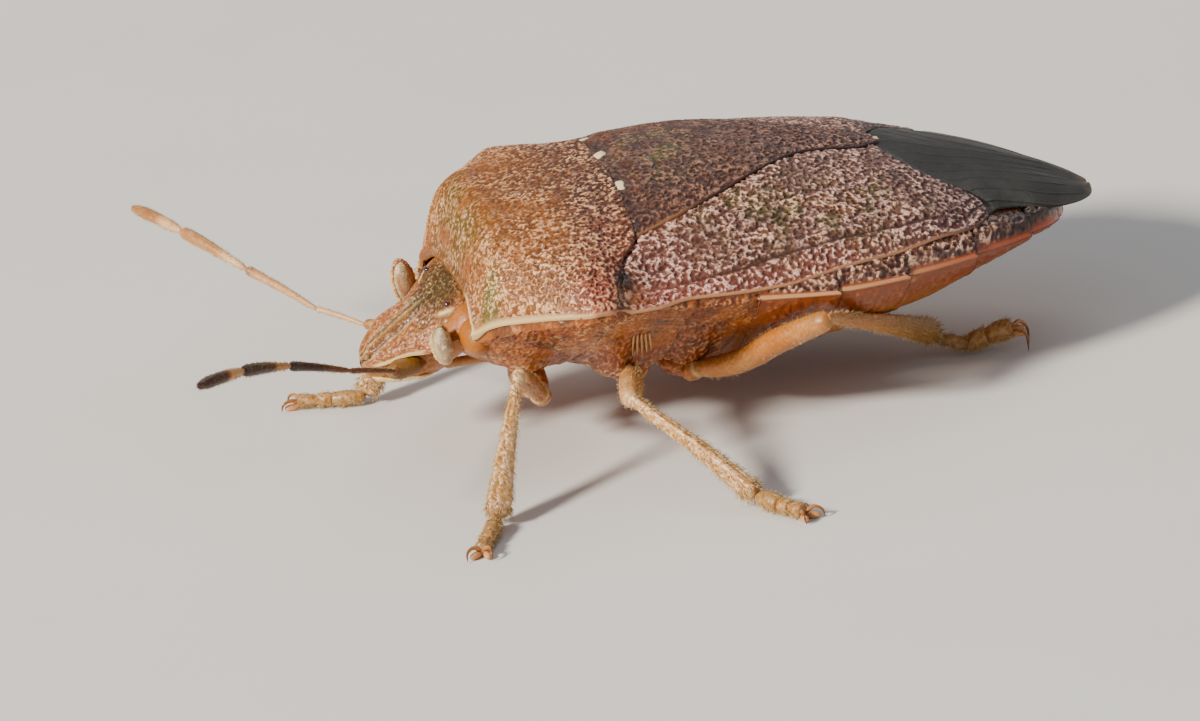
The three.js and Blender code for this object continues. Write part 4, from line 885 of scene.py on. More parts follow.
def breast():
    xs = np.arange(2.45, 7.50, 0.0185)
    n = 200
    k = np.linspace(-1, 1, n); more = np.linspace(1.008, 1.1, 12)
    X, K = np.meshgrid(xs, np.concatenate([-more[::-1], np.sin(k * math.pi / 2), more]), indexing="ij")
    ay = np.minimum(np.abs(K), 1); lip = smooth(1.0, 1.08, np.abs(K))
    y, z, lobe = chest(X, K)
    ring_ = np.zeros_like(X)
    for hx, hy, r in HIPS:
        ring_ = np.maximum(ring_, bell((np.hypot(X - hx, np.abs(y) - hy) - r) / 0.06))
    low = np.stack([X, y, z], -1)
    seams, lips = np.zeros_like(X), np.zeros_like(X)
    for c, lean in ((4.30, 0.60), (5.98, 0.45)):
        line = X - c - lean * (ay - 0.55)
        seams = np.maximum(seams, bell(line / 0.030) * smooth(0.20, 0.35, ay))
        lips = np.maximum(lips, bell((line + 0.10) / 0.06) * smooth(0.25, 0.4, ay))
    v = pits(low, 0.072, 81)
    plane = smooth(0.22, 0.42, ay) * smooth(2.46, 2.72, X)
    h = -0.040 * seams + 0.030 * lips - 0.04 * ring_ * smooth(0.2, 0.4, ay) + 0.10 * (noise(low, 0.7, 83, 2) - 0.5) * smooth(1, 0.85, ay)
    h += plane * relief(v) * 1.2
    gland = bell(np.hypot((X - 5.48) / 0.30, (ay - 0.66) / 0.16))
    h -= 0.03 * gland
    front = smooth(2.46, 2.72, X)
    h *= smooth(1.1, 1.05, np.abs(K)) * front
    nrm = normals(low)
    if nrm[..., 2].sum() > 0:
        nrm = -nrm
    low = low + nrm * h[..., None]
    m = 14
    yt = np.sin(np.linspace(1, -1, m) * math.pi / 2)
    XT, KT = np.meshgrid(xs, yt, indexing="ij")
    wt = chest_width(XT)
    side_z = back(XT, wt) - 0.05
    roof = np.stack([XT, KT * wt, np.where(np.abs(KT) > 0.999, side_z, np.where(XT < 5.2, edge(XT) - 0.06, np.maximum(edge(XT) - 0.06, back(XT, KT * wt) - 0.4)))], -1)
    ring = np.concatenate([low, roof], 1)
    A = lambda a, b=0.0: np.concatenate([np.clip(a + 0 * X, 0, 1), np.full((len(xs), m), b)], 1)
    big, mid = noise(low, 0.8, 85, 3), noise(low, 0.34, 86, 2)
    s = Soup()
    # the front face is painted amber: partly its own colour, partly painted reflected light, the orange glow in the
    # shaded neck gap; the dark under the lip is painted contact shadow
    s.tube(ring, grain=A(v), bloom=A(plane * np.clip(0.26 + 1.9 * (mid - 0.45) + 0.85 * lobe + 0.15 * lips, 0.0, 1.0) * (1 - 0.7 * gland) * (1 - lip)), speck=A(plane * (0.30 + 0.25 * lobe)),
           warm=A(0.80 * smooth(0.35, 0.60, noise(low, 0.7, 87, 2)) + 0.3 * (1 - plane)), amber=A(0.85 * (1 - front), 0.0), cool=A(0.35 * smooth(0.5, 0.8, big) * (1 - lobe) + 0.25 * smooth(0.8, 1.0, ay)), pink=A(0.12 * smooth(0.5, 0.75, mid) * smooth(3.2, 2.6, X)),
           shade=A(0.35 * seams + 0.45 * smooth(0.54, 0.74, noise(low, 0.40, 89, 2)) * plane * (1 - 0.6 * lobe) + 0.20 * ring_ * smooth(0.2, 0.4, ay) + 0.10 * smooth(0.90, 1.0, ay) + 0.35 * lip), green=A(0.15 * smooth(0.5, 0.8, noise(low, 0.6, 88, 2)) * plane * (1 - lip)), cream=A(0.0), ivory=A(0.0), black=A(0.0), back=A(0.0))
    # smooth neck skin behind the eyes, under the front corners of the pronotum; its strong amber is partly painted
    # reflected light, the orange glow in the shade there
    c = Soup()
    for sd in (-1, 1):
        g = ball_grid((2.57, sd * 1.44, -0.93), (0.30, 0.46, 0.35), 60, 90)
        gv = pits(g, 0.07, 93)
        c.tube(g, box=(0.02, 0.25 + 0.24 * sd, 0.98, 0.74 + 0.24 * sd), grain=gv, bloom=0.05, speck=0.0, warm=0.5, amber=0.90, cool=0.0, pink=0.0, green=0.0, cream=0.0, ivory=0.0, shade=0.0, black=0.0, back=0.0)
    c.build("neck_skin", HEAD_M, "head_shell")
    return s.build("breast_skin", BELLY_M, "underside", ["thorax"])


# ----------------------------------------------------------------- tube parts
def frames(path):
    d = np.gradient(path, axis=0); d /= np.linalg.norm(d, axis=1)[:, None]
    side = np.cross([0, 0, 1.0], d[0])
    if np.linalg.norm(side) < 0.1:
        side = np.array([1.0, 0, 0])
    out = []
    for v in d:
        side = side - v * (side @ v); side /= np.linalg.norm(side)
        out.append(side)
    s = np.array(out)
    return d, s, np.cross(d, s)


def smooth_path(pts, n):
    """Points along a centripetal spline through pts."""
    pts = np.asarray(pts, float)
    p = np.concatenate([[2 * pts[0] - pts[1]], pts, [2 * pts[-1] - pts[-2]]])
    lens = np.linalg.norm(np.diff(pts, axis=0), axis=1); cum = np.concatenate([[0], np.cumsum(lens)])
    out = []
    for s in np.linspace(0, cum[-1], n):
        i = min(max(int(np.searchsorted(cum, s, side="right")) - 1, 0), len(pts) - 2)
        u = (s - cum[i]) / lens[i]
        a, b, c, d = p[i:i + 4]
        t = [0.0]
        for m, o in ((a, b), (b, c), (c, d)):
            t.append(t[-1] + math.sqrt(np.linalg.norm(o - m)) + 1e-9)
        v = t[1] + (t[2] - t[1]) * u
        L = lambda m, o, x0, x1: (x1 - v) / (x1 - x0) * m + (v - x0) / (x1 - x0) * o
        A1, A2, A3 = L(a, b, t[0], t[1]), L(b, c, t[1], t[2]), L(c, d, t[2], t[3])
        B1, B2 = L(A1, A2, t[0], t[2]), L(A2, A3, t[1], t[3])
        out.append(L(B1, B2, t[1], t[2]))
    return np.array(out)


def tube(path, radius, around=24, flat=None, shape=None, up=None):
    """Grid rows x around x 3 along a path. radius and flat are arrays; shape(angle) scales the section."""
    d, s, u = frames(path)
    if up is not None:
        u = up - d * (d @ up)[:, None]; u /= np.linalg.norm(u, axis=1)[:, None]; s = np.cross(u, d)
    w = np.linspace(0, 2 * math.pi, around, endpoint=False)
    r = np.asarray(radius)[:, None] * (np.ones(around) if shape is None else shape(w))[None]
    fl = np.ones(len(path)) if flat is None else np.asarray(flat)
    return path[:, None] + (r * np.cos(w))[..., None] * s[:, None] + (r * np.sin(w) * fl[:, None])[..., None] * u[:, None]


def ball_grid(centre, r, rows=16, around=24, turn=None):
    th = np.linspace(0.02, math.pi - 0.02, rows); w = np.linspace(0, 2 * math.pi, around, endpoint=False)
    g = np.stack([np.sin(th)[:, None] * np.cos(w), np.sin(th)[:, None] * np.sin(w), np.cos(th)[:, None] + 0 * w], -1) * np.asarray(r)
    if turn is not None:
        g = g @ np.asarray(turn).T
    return g + np.asarray(centre)


# ---------------------------------------------------------------------- head
HEAD_X = [0.770, 0.82, 0.92, 1.10, 1.30, 1.50, 1.75, 2.00, 2.25, 2.50, 2.64]
head_w = Curve(HEAD_X, [0.100, 0.30, 0.50, 0.72, 0.88, 0.96, 1.06, 1.18, 1.32, 1.48, 1.50])
head_t = Curve(HEAD_X, [-1.64, -1.59, -1.48, -1.33, -1.17, -1.01, -.80, -.59, -.39, -.24, -.20])
head_m = Curve(HEAD_X, [-1.71, -1.68, -1.61, -1.48, -1.33, -1.26, -1.22, -1.08, -.90, -.80, -.78])
head_b = Curve(HEAD_X, [-1.82, -1.90, -1.98, -2.03, -2.06, -2.06, -2.04, -1.98, -1.82, -1.60, -1.50])
NECK = np.array([2.42, 0, -1.15])


def turn_head(p):
    r, a = math.radians(4.6), math.radians(-1.3)
    q = np.asarray(p, float) - NECK
    q = np.stack([q[..., 0], q[..., 1] * math.cos(r) - q[..., 2] * math.sin(r), q[..., 1] * math.sin(r) + q[..., 2] * math.cos(r)], -1)
    q = np.stack([q[..., 0] * math.cos(a) - q[..., 1] * math.sin(a), q[..., 0] * math.sin(a) + q[..., 1] * math.cos(a), q[..., 2]], -1)
    return q + NECK


clypeus = Curve([0.77, 0.95, 1.2, 1.5, 1.9, 2.1], [0.10, 0.20, 0.235, 0.235, 0.19, 0.12])
HALF_LOW = np.linspace(0, 1, 9)
EYE_AT, EYE_R, EYE_TILT = np.array([2.00, 1.38, -0.935]), np.array([0.168, 0.25, 0.380]), -0.18


def head():
    xs = np.concatenate([[0.770, 0.776, 0.786, 0.80, 0.82, 0.845], np.arange(0.87, 2.64, 0.0155)])
    w, t, m, b = head_w(xs), head_t(xs), head_m(xs), head_b(xs)
    nt = 151
    c = np.sin(np.linspace(-1, 1, nt) * math.pi / 2)[None]
    X = np.repeat(xs[:, None], nt, 1)
    y = w[:, None] * c
    f = (1 - np.abs(c) ** (2.2 + 1.6 * smooth(1.95, 2.4, X))) ** (0.75 - 0.15 * smooth(1.95, 2.4, X))
    z = m[:, None] + (t - m)[:, None] * f
    top = np.stack([X, y, z], -1)
    ay = np.abs(y); fr = smooth(2.05, 1.7, X)
    cw = clypeus(X)
    furrow = bell((ay - cw) / 0.028) * smooth(2.12, 1.95, X)
    d_edge = w[:, None] - ay
    h = -0.045 * furrow + 0.040 * bell(ay / np.maximum(cw * 0.8, 0.05)) * smooth(2.1, 1.6, X) * smooth(0.8, 1.0, X)
    h += 0.028 * bell((d_edge - 0.03) / 0.05) * fr - 0.035 * bell((d_edge - 0.18) / 0.09) * fr
    h += 0.03 * bell((ay - 0.35) / 0.16) * smooth(2.5, 2.2, X) * smooth(1.6, 1.9, X)
    oc = np.hypot(X - 2.264, ay - 0.765)
    behind = smooth(2.06, 2.16, X) * smooth(0.96, 1.08, ay)
    h += 0.03 * bell(oc / 0.12)
    v = pits(top, 0.052, 91)
    # fine wrinkles run along the lobes beside the snout
    wrinkle = np.sin(34 * (ay - cw) + 5 * noise(top, 0.3, 96)) * smooth(0.04, 0.12, ay - cw) * smooth(0.45, 0.30, ay - cw) * smooth(2.0, 1.7, X)
    calm = smooth(0.02, 0.08, d_edge + 0.3 * (1 - fr)) * (1 - 0.6 * furrow) * (1 - bell(oc / 0.10))
    h += (calm * (1 - behind) * relief(v) * 0.8 + 0.006 * wrinkle) * smooth(0.78, 0.95, X)
    h *= smooth(0.0, 0.02, d_edge) * smooth(0.77, 0.84, X)
    top = raise_up(top, h)
    # below: thin edge, hollow cheek, ridge beside the beak, groove on the midline
    Y = np.stack([w, w * 0.93, w * 0.84, w * 0.76, w * 0.62, w * 0.44, np.maximum(w * 0.25, 0.05), np.maximum(w * 0.12, 0.03), 0 * w], 1)
    Z = np.stack([m, m - 0.030, m - 0.11, m + (b - m) * 0.38, m + (b - m) * 0.66, m + (b - m) * 0.86, b, b + 0.015, b + 0.10], 1)
    nb = 80; s = np.linspace(0, 1, nb + 1)[1:]
    yy = np.stack([Curve(HALF_LOW, r)(s) for r in Y]); zz = np.stack([Curve(HALF_LOW, r)(s) for r in Z])
    lowR = np.stack([np.repeat(xs[:, None], nb, 1), yy, zz], -1)
    lowL = (lowR[:, ::-1] * np.array([1, -1, 1]))[:, 1:]
    low = np.concatenate([lowR, lowL], 1)
    S = np.concatenate([np.repeat(s[None], len(xs), 0), np.repeat(s[::-1][None, 1:], len(xs), 0)], 1)
    LX = low[..., 0]
    on = smooth(0.02, 0.2, S) * smooth(0.8, 0.95, LX) * smooth(2.26, 2.06, LX)
    lv = pits(low, 0.070, 97)
    bucc = bell((S - 0.635) / 0.036)
    hl = (0.05 * (noise(low, 0.35, 95, 2) - 0.5) + 0.6 * relief(lv) + 0.02 * bucc) * on
    nl = normals(low)
    if nl[..., 2].sum() > 0:
        nl = -nl
    low = low + nl * hl[..., None]
    ring = np.concatenate([top, low], 1)
    A = lambda a, b: np.concatenate([np.clip(a + 0 * X, 0, 1), np.clip(b + 0 * S, 0, 1)], 1)
    mid = noise(top, 0.30, 98, 2)
    stripe = bell(ay / 0.05) * smooth(2.1, 1.8, X) + bell((ay - cw - 0.08) / 0.04) * smooth(2.0, 1.7, X)
    off, along_ = -0.74 * (X - 2.264) + 0.67 * (ay - 0.765), 0.67 * (X - 2.264) + 0.74 * (ay - 0.765)
    crescent = bell((off - 0.116 + 0.6 * along_ * along_) / 0.030) * smooth(0.22, 0.10, np.abs(along_))
    juga = smooth(0.05, 0.16, ay - cw) * smooth(2.15, 1.9, X)
    vertex = smooth(1.55, 1.9, X) * smooth(0.95, 0.45, ay)
    bloom = calm * (1 - behind) * np.clip(0.34 + 0.9 * (mid - 0.42) + 0.15 * juga, 0.1, 0.8) + 0.25 * stripe
    s_ = Soup()
    # amber behind the eyes and on the underside: partly the head's own colour, partly painted reflected light, the
    # orange glow in the shade there
    s_.tube(ring, grain=A(v, lv), bloom=A(bloom, 0.10 * on), speck=A(calm * (1 - behind) * (0.42 + 0.15 * vertex), 0.30 * on),
            cream=A(1.2 * bell(d_edge / 0.042) * smooth(1.80, 1.64, X) * smooth(0.85, 1.0, X) + crescent + 0.34 * stripe,
                    0.9 * bell(S / 0.035) * smooth(1.80, 1.64, LX) + 0.4 * bucc * smooth(0.95, 1.15, LX) * smooth(1.95, 1.75, LX)),
            ivory=A(0.50 * crescent, 0.0), warm=A(0.55 * juga, 0.75), pink=A(0.25 * juga * smooth(0.35, 0.6, mid), 0.0), cool=A(0.75 * vertex + 0.35 * smooth(0.2, 0.0, ay), 0.25 * bell((S - 0.35) / 0.2)),
            green=A(0.10 * vertex, 0.30 * bell((S - 0.45) / 0.25)), amber=A(0.95 * behind, np.clip(0.88 + 0.10 * smooth(2.0, 2.25, LX), 0, 1)),
            shade=A(0.75 * furrow + 0.25 * vertex * bell((ay - 0.42) / 0.12) + 0.7 * bell((oc - 0.088) / 0.02), 0.20 * bell((S - 0.25) / 0.15) * smooth(2.2, 1.9, LX)), black=A(0.0, 0.0), back=0.0)
    s_.v[0][:] = turn_head(s_.v[0])
    # pale plates that guard the root of the beak
    b_ = Soup()
    for sd in (-1, 1):
        bx = np.linspace(0.92, 1.98, 60); bw, bm, bb = head_w(bx), head_m(bx), head_b(bx); t = np.linspace(0, 1, 60)
        g = tube(np.stack([bx, sd * 0.52 * bw, bm + (bb - bm) * 0.83], -1), Curve([0, 0.15, 0.75, 1], [0.012, 0.045, 0.040, 0.010])(t), 20)
        gv = pits(g, 0.055, 113)
        b_.tube(raise_up(g, 0.5 * relief(gv), True), box=(0.02, 0.25 + 0.25 * sd, 0.98, 0.70 + 0.25 * sd), grain=gv, bloom=0.4, speck=0.1, cream=0.85, pink=0.10, warm=0.3, amber=0.0, ivory=0.20, cool=0.0, shade=0.0, green=0.0, black=0.0, back=0.0)
    b_.v[0][:] = turn_head(b_.v[0]); b_.v[1][:] = turn_head(b_.v[1])
    b_.build("beak_guards", HEAD_M, "head_shell")
    return s_.build("head_capsule", HEAD_M, "head_shell", ["head"])


def eyes():
    ct, st = math.cos(EYE_TILT), math.sin(EYE_TILT)
    R = np.array([[ct, 0, st], [0, 1, 0], [-st, 0, ct]])
    for side in (-1, 1):
        at = EYE_AT * np.array([1, side, 1]) + (np.array([0, -0.02, 0]) if side < 0 else np.array([-0.05, 0.10, 0.03]))
        R3 = EYE_R * (1.0 if side < 0 else 1.16)
        th = np.linspace(0.012, math.pi * 0.985, 180); w = np.linspace(0, 2 * math.pi, 240, endpoint=False)
        # pole of the dome points outwards; it is set with small facets
        g = np.stack([np.sin(th)[:, None] * np.cos(w), np.cos(th)[:, None] * side + 0 * w, np.sin(th)[:, None] * np.sin(w)], -1)
        f1, f2, own = cells(g * 13.0, 1.0, 3, 0.30)
        surf = (g * (R3 * np.array([0.96, 0.97, 0.97])) + g * (0.009 * (1 - smooth(0.1, 0.75, f1)))[..., None]) @ R.T + at
        sn = np.sin(th)[:, None] + 0 * w
        cloud = noise(g, 0.55, 9, 3)
        rimm = smooth(0.60, 0.90, sn + 0.25 * (cloud - 0.5))
        s = Soup()
        # the far eye's middle is painted warm brown: painted shade with an orange reflected glow
        s.tube(surf, pale=np.clip(0.95 * rimm * (0.7 + 0.3 * own) + 0.4 * smooth(0.62, 0.75, cloud), 0, 1), dark=np.clip(0.40 * smooth(0.45, 0.75, f1) * (1 - 0.5 * rimm) + 0.25 * smooth(0.45, 0.30, cloud), 0, 1),
               warm=np.clip((0.25 * smooth(0.35, 0.65, noise(g, 0.8, 13)) if side < 0 else 0.85 * smooth(0.15, 0.5, noise(g, 0.8, 13))) * (1 - rimm), 0, 1))
        s.v[0][:] = turn_head(s.v[0])
        name = "left" if side < 0 else "right"
        s.build("eye_dome_" + name, EYE_M, "eyes", ["eye_" + name])
        # raised rim of the socket, thicker in front and behind
        a = np.linspace(0, 2 * math.pi, 140)
        ring = np.stack([R3[0] * 1.02 * np.cos(a), 0 * a - 0.07 * side, R3[2] * 0.99 * np.sin(a)], -1) @ R.T + at
        front = smooth(0.1, 0.9, -np.cos(a - 0.35))
        t = tube(ring, 0.026 + 0.024 * front, 16)
        v = pits(t, 0.055, 111)
        t = raise_up(t, 0.8 * relief(v), True)
        s = Soup()
        tint = np.repeat(front[:, None], 16, 1)
        s.tube(t, grain=v, bloom=0.7 + 0.0 * tint, speck=0.45 * (1 - tint), cream=0.10 + 0.75 * tint, pink=0.20 * (1 - tint) + (0.35 if side > 0 else 0.0), warm=0.4 * (1 - tint), amber=0.0, ivory=0.40 * tint, cool=0.0, shade=0.0, green=0.0, black=0.0, back=0.0)
        s.v[0][:] = turn_head(s.v[0])
        s.build("eye_socket_" + name, HEAD_M, "head_shell")
        z = head_m(2.264) + (head_t(2.264) - head_m(2.264)) * (1 - (0.765 / head_w(2.264)) ** 3.2) ** 0.67
        s = Soup()
        s.tube(turn_head(ball_grid((2.264, side * 0.765, float(z) + 0.020), (0.074, 0.074, 0.056), 24, 36)))
        s.build("ocellus_" + name, OCELLUS_M, "eyes")


# ------------------------------------------------------------------ feelers
FEELERS = {
    "left": [[1.14, -1.06, -1.51], [1.08, -1.29, -1.44], [0.13, -1.75, -1.12], [-1.16, -2.50, -0.56], [-2.31, -3.77, -0.02], [-3.46, -5.10, 0.34]],
    "right": [[1.50, 0.98, -1.52], [1.20, 1.40, -1.52], [0.52, 2.28, -1.42], [-0.52, 3.27, -0.84], [-1.33, 4.84, -0.53], [-1.86, 6.54, -0.58]]}
HAIRS = Soup()
PILE = Soup()


def hair_on(soup, grid, n, length, radius, lean, uvbox, seed, dark=0.2, where=None, bend=0.05, rows=(0.02, 0.98)):
    """Hairs rooted on a closed grid, leaning along its rows by lean (0 upright, 1 flat)."""
    r = np.random.default_rng(seed)
    a, b = grid.shape[:2]
    nrm = normals(grid, True)
    if (nrm * (grid - grid.mean(1, keepdims=True))).sum() < 0:
        nrm = -nrm
    fwd = np.gradient(grid, axis=0); fwd /= np.maximum(np.linalg.norm(fwd, axis=-1), 1e-9)[..., None]
    i = r.uniform(rows[0], rows[1], n) * (a - 1); j = r.uniform(0, b, n)
    if where is not None:
        keep = r.uniform(0, 1, n) < where(i / (a - 1), j / b * 2 * math.pi)
        i, j = i[keep], j[keep]
    n = len(i)
    i0, j0 = np.floor(i).astype(int).clip(0, a - 2), np.floor(j).astype(int) % b
    fi, fj = (i - i0)[:, None], (j - np.floor(j))[:, None]
    get = lambda g: (g[i0, j0] * (1 - fi) + g[i0 + 1, j0] * fi) * (1 - fj) + (g[i0, (j0 + 1) % b] * (1 - fi) + g[i0 + 1, (j0 + 1) % b] * fi) * fj
    root, nn, ff = get(grid), get(nrm), get(fwd)
    ln = lean * r.uniform(0.75, 1.2, n)[:, None]
    way = nn * (1 - 0.75 * ln) + ff * ln + r.normal(0, 0.10, (n, 3))
    L = length * r.uniform(0.6, 1.25, n)
    uv = np.stack([uvbox[0] + (uvbox[2] - uvbox[0]) * j / b, uvbox[1] + (uvbox[3] - uvbox[1]) * i / (a - 1)], -1)
    soup.cones(root - nn * 0.004, way, L, radius * r.uniform(0.8, 1.2, n), uv, bend=bend, dark=np.clip(dark + r.uniform(-0.15, 0.15, n), 0, 1))


def feeler(name, k):
    pts = np.asarray(FEELERS[name], float)
    pts[0] = turn_head(pts[0])
    p = stand(pts)
    near = name == "left"
    rad = [(0.080, 0.100, 0.078), (0.038, 0.050, 0.052), (0.048, 0.082, 0.090), (0.060, 0.110, 0.102), (0.06, 0.11, 0.06)]
    root, tip = Soup(), Soup()
    for i in range(5):
        a, b = p[i], p[i + 1]
        d = (b - a); L = np.linalg.norm(d); d /= L
        a2, b2 = a + d * 0.02, b - d * 0.012
        n = max(30, int(L / 0.025))
        bow = np.array([0, 0, 1.0]) * 0.012 * L
        path = smooth_path([a2, (a2 + b2) / 2 + bow, b2], n)
        t = np.linspace(0, 1, n)
        r = Curve([0, 0.06, 0.25, 0.8, 0.95, 1.0], [rad[i][0] * 0.6, rad[i][0] * 0.95, rad[i][0] + 0.25 * (rad[i][1] - rad[i][0]), rad[i][1], rad[i][2], rad[i][2] * 0.55])(t)
        if i == 4:
            r = Curve([0, 0.05, 0.3, 0.7, 0.9, 0.97, 1.0], [0.034, 0.062, 0.100, 0.108, 0.082, 0.05, 0.012])(t)
        g = tube(path, r, 24)
        gr, gv, go = granules(g, 0.062, 120 + i)
        g = raise_up(g, 0.004 * gr * go + 0.004 * (noise(g, 0.12, 130 + i) - 0.5), True)
        T = np.repeat(t[:, None], 24, 1)
        # the two feelers share one colour; the near one, its pile and its joints are painted darker and redder
        # (painted shade) and the far one paler (painted light)
        if near:
            red = {0: 0.35, 1: 0.60, 2: 0.60 + 0.40 * smooth(0.25, 0.6, T), 3: smooth(0.28, 0.46, T), 4: smooth(0.30, 0.48, T)}[i]
            dark = {0: 0.15, 1: 0.45, 2: 0.45 + 0.4 * smooth(0.2, 0.7, T), 3: 0.85 * smooth(0.30, 0.50, T), 4: 0.75 * smooth(0.32, 0.52, T)}[i]
            pale = {0: 0.0, 1: 0.0, 2: 0.0, 3: 0.45 * smooth(0.42, 0.25, T), 4: 0.45 * smooth(0.45, 0.28, T)}[i]
        else:
            red = {0: 0.1, 1: 0.0, 2: 0.55 * bell((T - 0.96) / 0.06), 3: 0.16 * smooth(0.28, 0.46, T) + 0.35 * bell((T - 0.02) / 0.05), 4: 0.32 * smooth(0.30, 0.48, T)}[i]
            dark = {0: 0.1, 1: 0.0, 2: 0.05, 3: 0.10 * smooth(0.3, 0.5, T), 4: 0.10 * smooth(0.32, 0.52, T)}[i]
            pale = {0: 0.1, 1: 0.75, 2: 0.75 - 0.35 * T, 3: 0.85 * smooth(0.45, 0.25, T) + 0.15, 4: 0.85 * smooth(0.48, 0.28, T)}[i]
        at = dict(red=np.clip(red + 0 * T, 0, 1), pale=np.clip(pale + 0 * T, 0, 1), dark=np.clip(dark + 0.45 * gr * go * (0.3 + 0.7 * near), 0, 1), warm=0.15 if near else 0.05, green=0.30 if i == 0 else 0.0, black=np.clip(0.35 * near * smooth(0.55, 0.8, T) * (i in (2, 3)) + 0 * T, 0, 1))
        (root if i < 3 else tip).tube(g, box=(0, 0.33 * (i % 3), 1, 0.33 * (i % 3) + 0.32), **at)
        hair_on(PILE, g, [60, 300, 520, 800, 700][i], [0.045, 0.050, 0.055, 0.060, 0.060][i], 0.0042, 0.62, (0.5 * k + 0.02, 0.19 * i + 0.02, 0.5 * k + 0.48, 0.19 * i + 0.2), 200 + 10 * k + i, dark=0.55 if near else 0.05)
        if i:
            s = root if i < 3 else tip
            s.tube(ball_grid(a, (0.042, 0.042, 0.042), 12, 16), box=(0, 0.985, 0.2, 1.0), red=0.5 if near else 0.2, pale=0.2, dark=0.4 if near else 0.1, warm=0.0, green=0.0, black=0.0)
    # tubercle that carries the feeler, grown out of the cheek
    sd = -1 if near else 1
    base = stand(turn_head(np.array([[1.74, sd * 0.76, -1.50], [1.38, sd * 0.92, -1.49], [1.04 if near else 1.30, sd * 1.02, -1.52]])))
    path = smooth_path(base, 40); t = np.linspace(0, 1, 40)
    kn = tube(path, Curve([0, 0.3, 0.70, 0.92, 1], [0.10, 0.19, 0.185, 0.125, 0.06])(t), 36)
    gr, gv, go = granules(kn, 0.08, 141)
    root.tube(raise_up(kn, 0.007 * gr * go - 0.004 * gv, True), box=(0.3, 0.985, 0.6, 1.0), red=0.10, pale=0.10 * gr * go, dark=0.25 + 0.35 * gv, warm=0.80, green=0.60, black=0.0)
    root.build("feeler_%s_root" % name, FEELER_M, "feelers", ["antenna_%s_root" % name], row=True)
    tip.build("feeler_%s_tip" % name, FEELER_M, "feelers", ["antenna_%s_tip" % name], row=True)


# --------------------------------------------------------------------- legs
# coxa, knee, ankle and toe; the last point, where given, is the low joint at the root of the thigh
LEGS = {
    "left_fore": (0, [3.56, -1.12, -1.96], [2.82, -3.50, -0.99], [1.87, -5.10, -2.97], [1.18, -6.50], [3.62, -1.86, -2.10]),
    "left_mid": (1, [5.44, -1.50, -1.93], [4.69, -4.20, -1.49], [6.23, -6.85, -2.565], [6.90, -8.10], None),
    "left_hind": (2, [6.24, -1.48, -1.90], [8.36, -4.45, -0.40], [11.18, -1.45, -2.18], [12.82, -1.98], [6.43, -1.92, -2.02]),
    "right_fore": (0, [3.56, 1.12, -1.96], [2.95, 3.52, -1.30], [1.42, 2.50, -3.32], [0.10, 3.20], None),
    "right_mid": (1, [5.44, 1.50, -1.93], [4.90, 4.30, -1.15], [6.70, 6.30, -2.95], [7.35, 7.62], None),
    "right_hind": (2, [6.24, 1.48, -1.90], [8.60, 4.60, -0.40], [11.35, 4.40, -2.70], [13.00, 4.75], [6.43, 1.92, -2.02])}
COXAE = Soup()
CLAWS = Soup()


def horn(s, g, v, box, **more):
    """A limb surface with the fields the underside material reads."""
    base = dict(grain=v, bloom=0.5, speck=0.4, warm=0.4, cool=0.0, pink=0.0, amber=0.0, green=0.0, cream=0.0, ivory=0.0, shade=0.0, black=0.0, back=0.0)
    base.update(more)
    s.tube(g, box=box, **base)


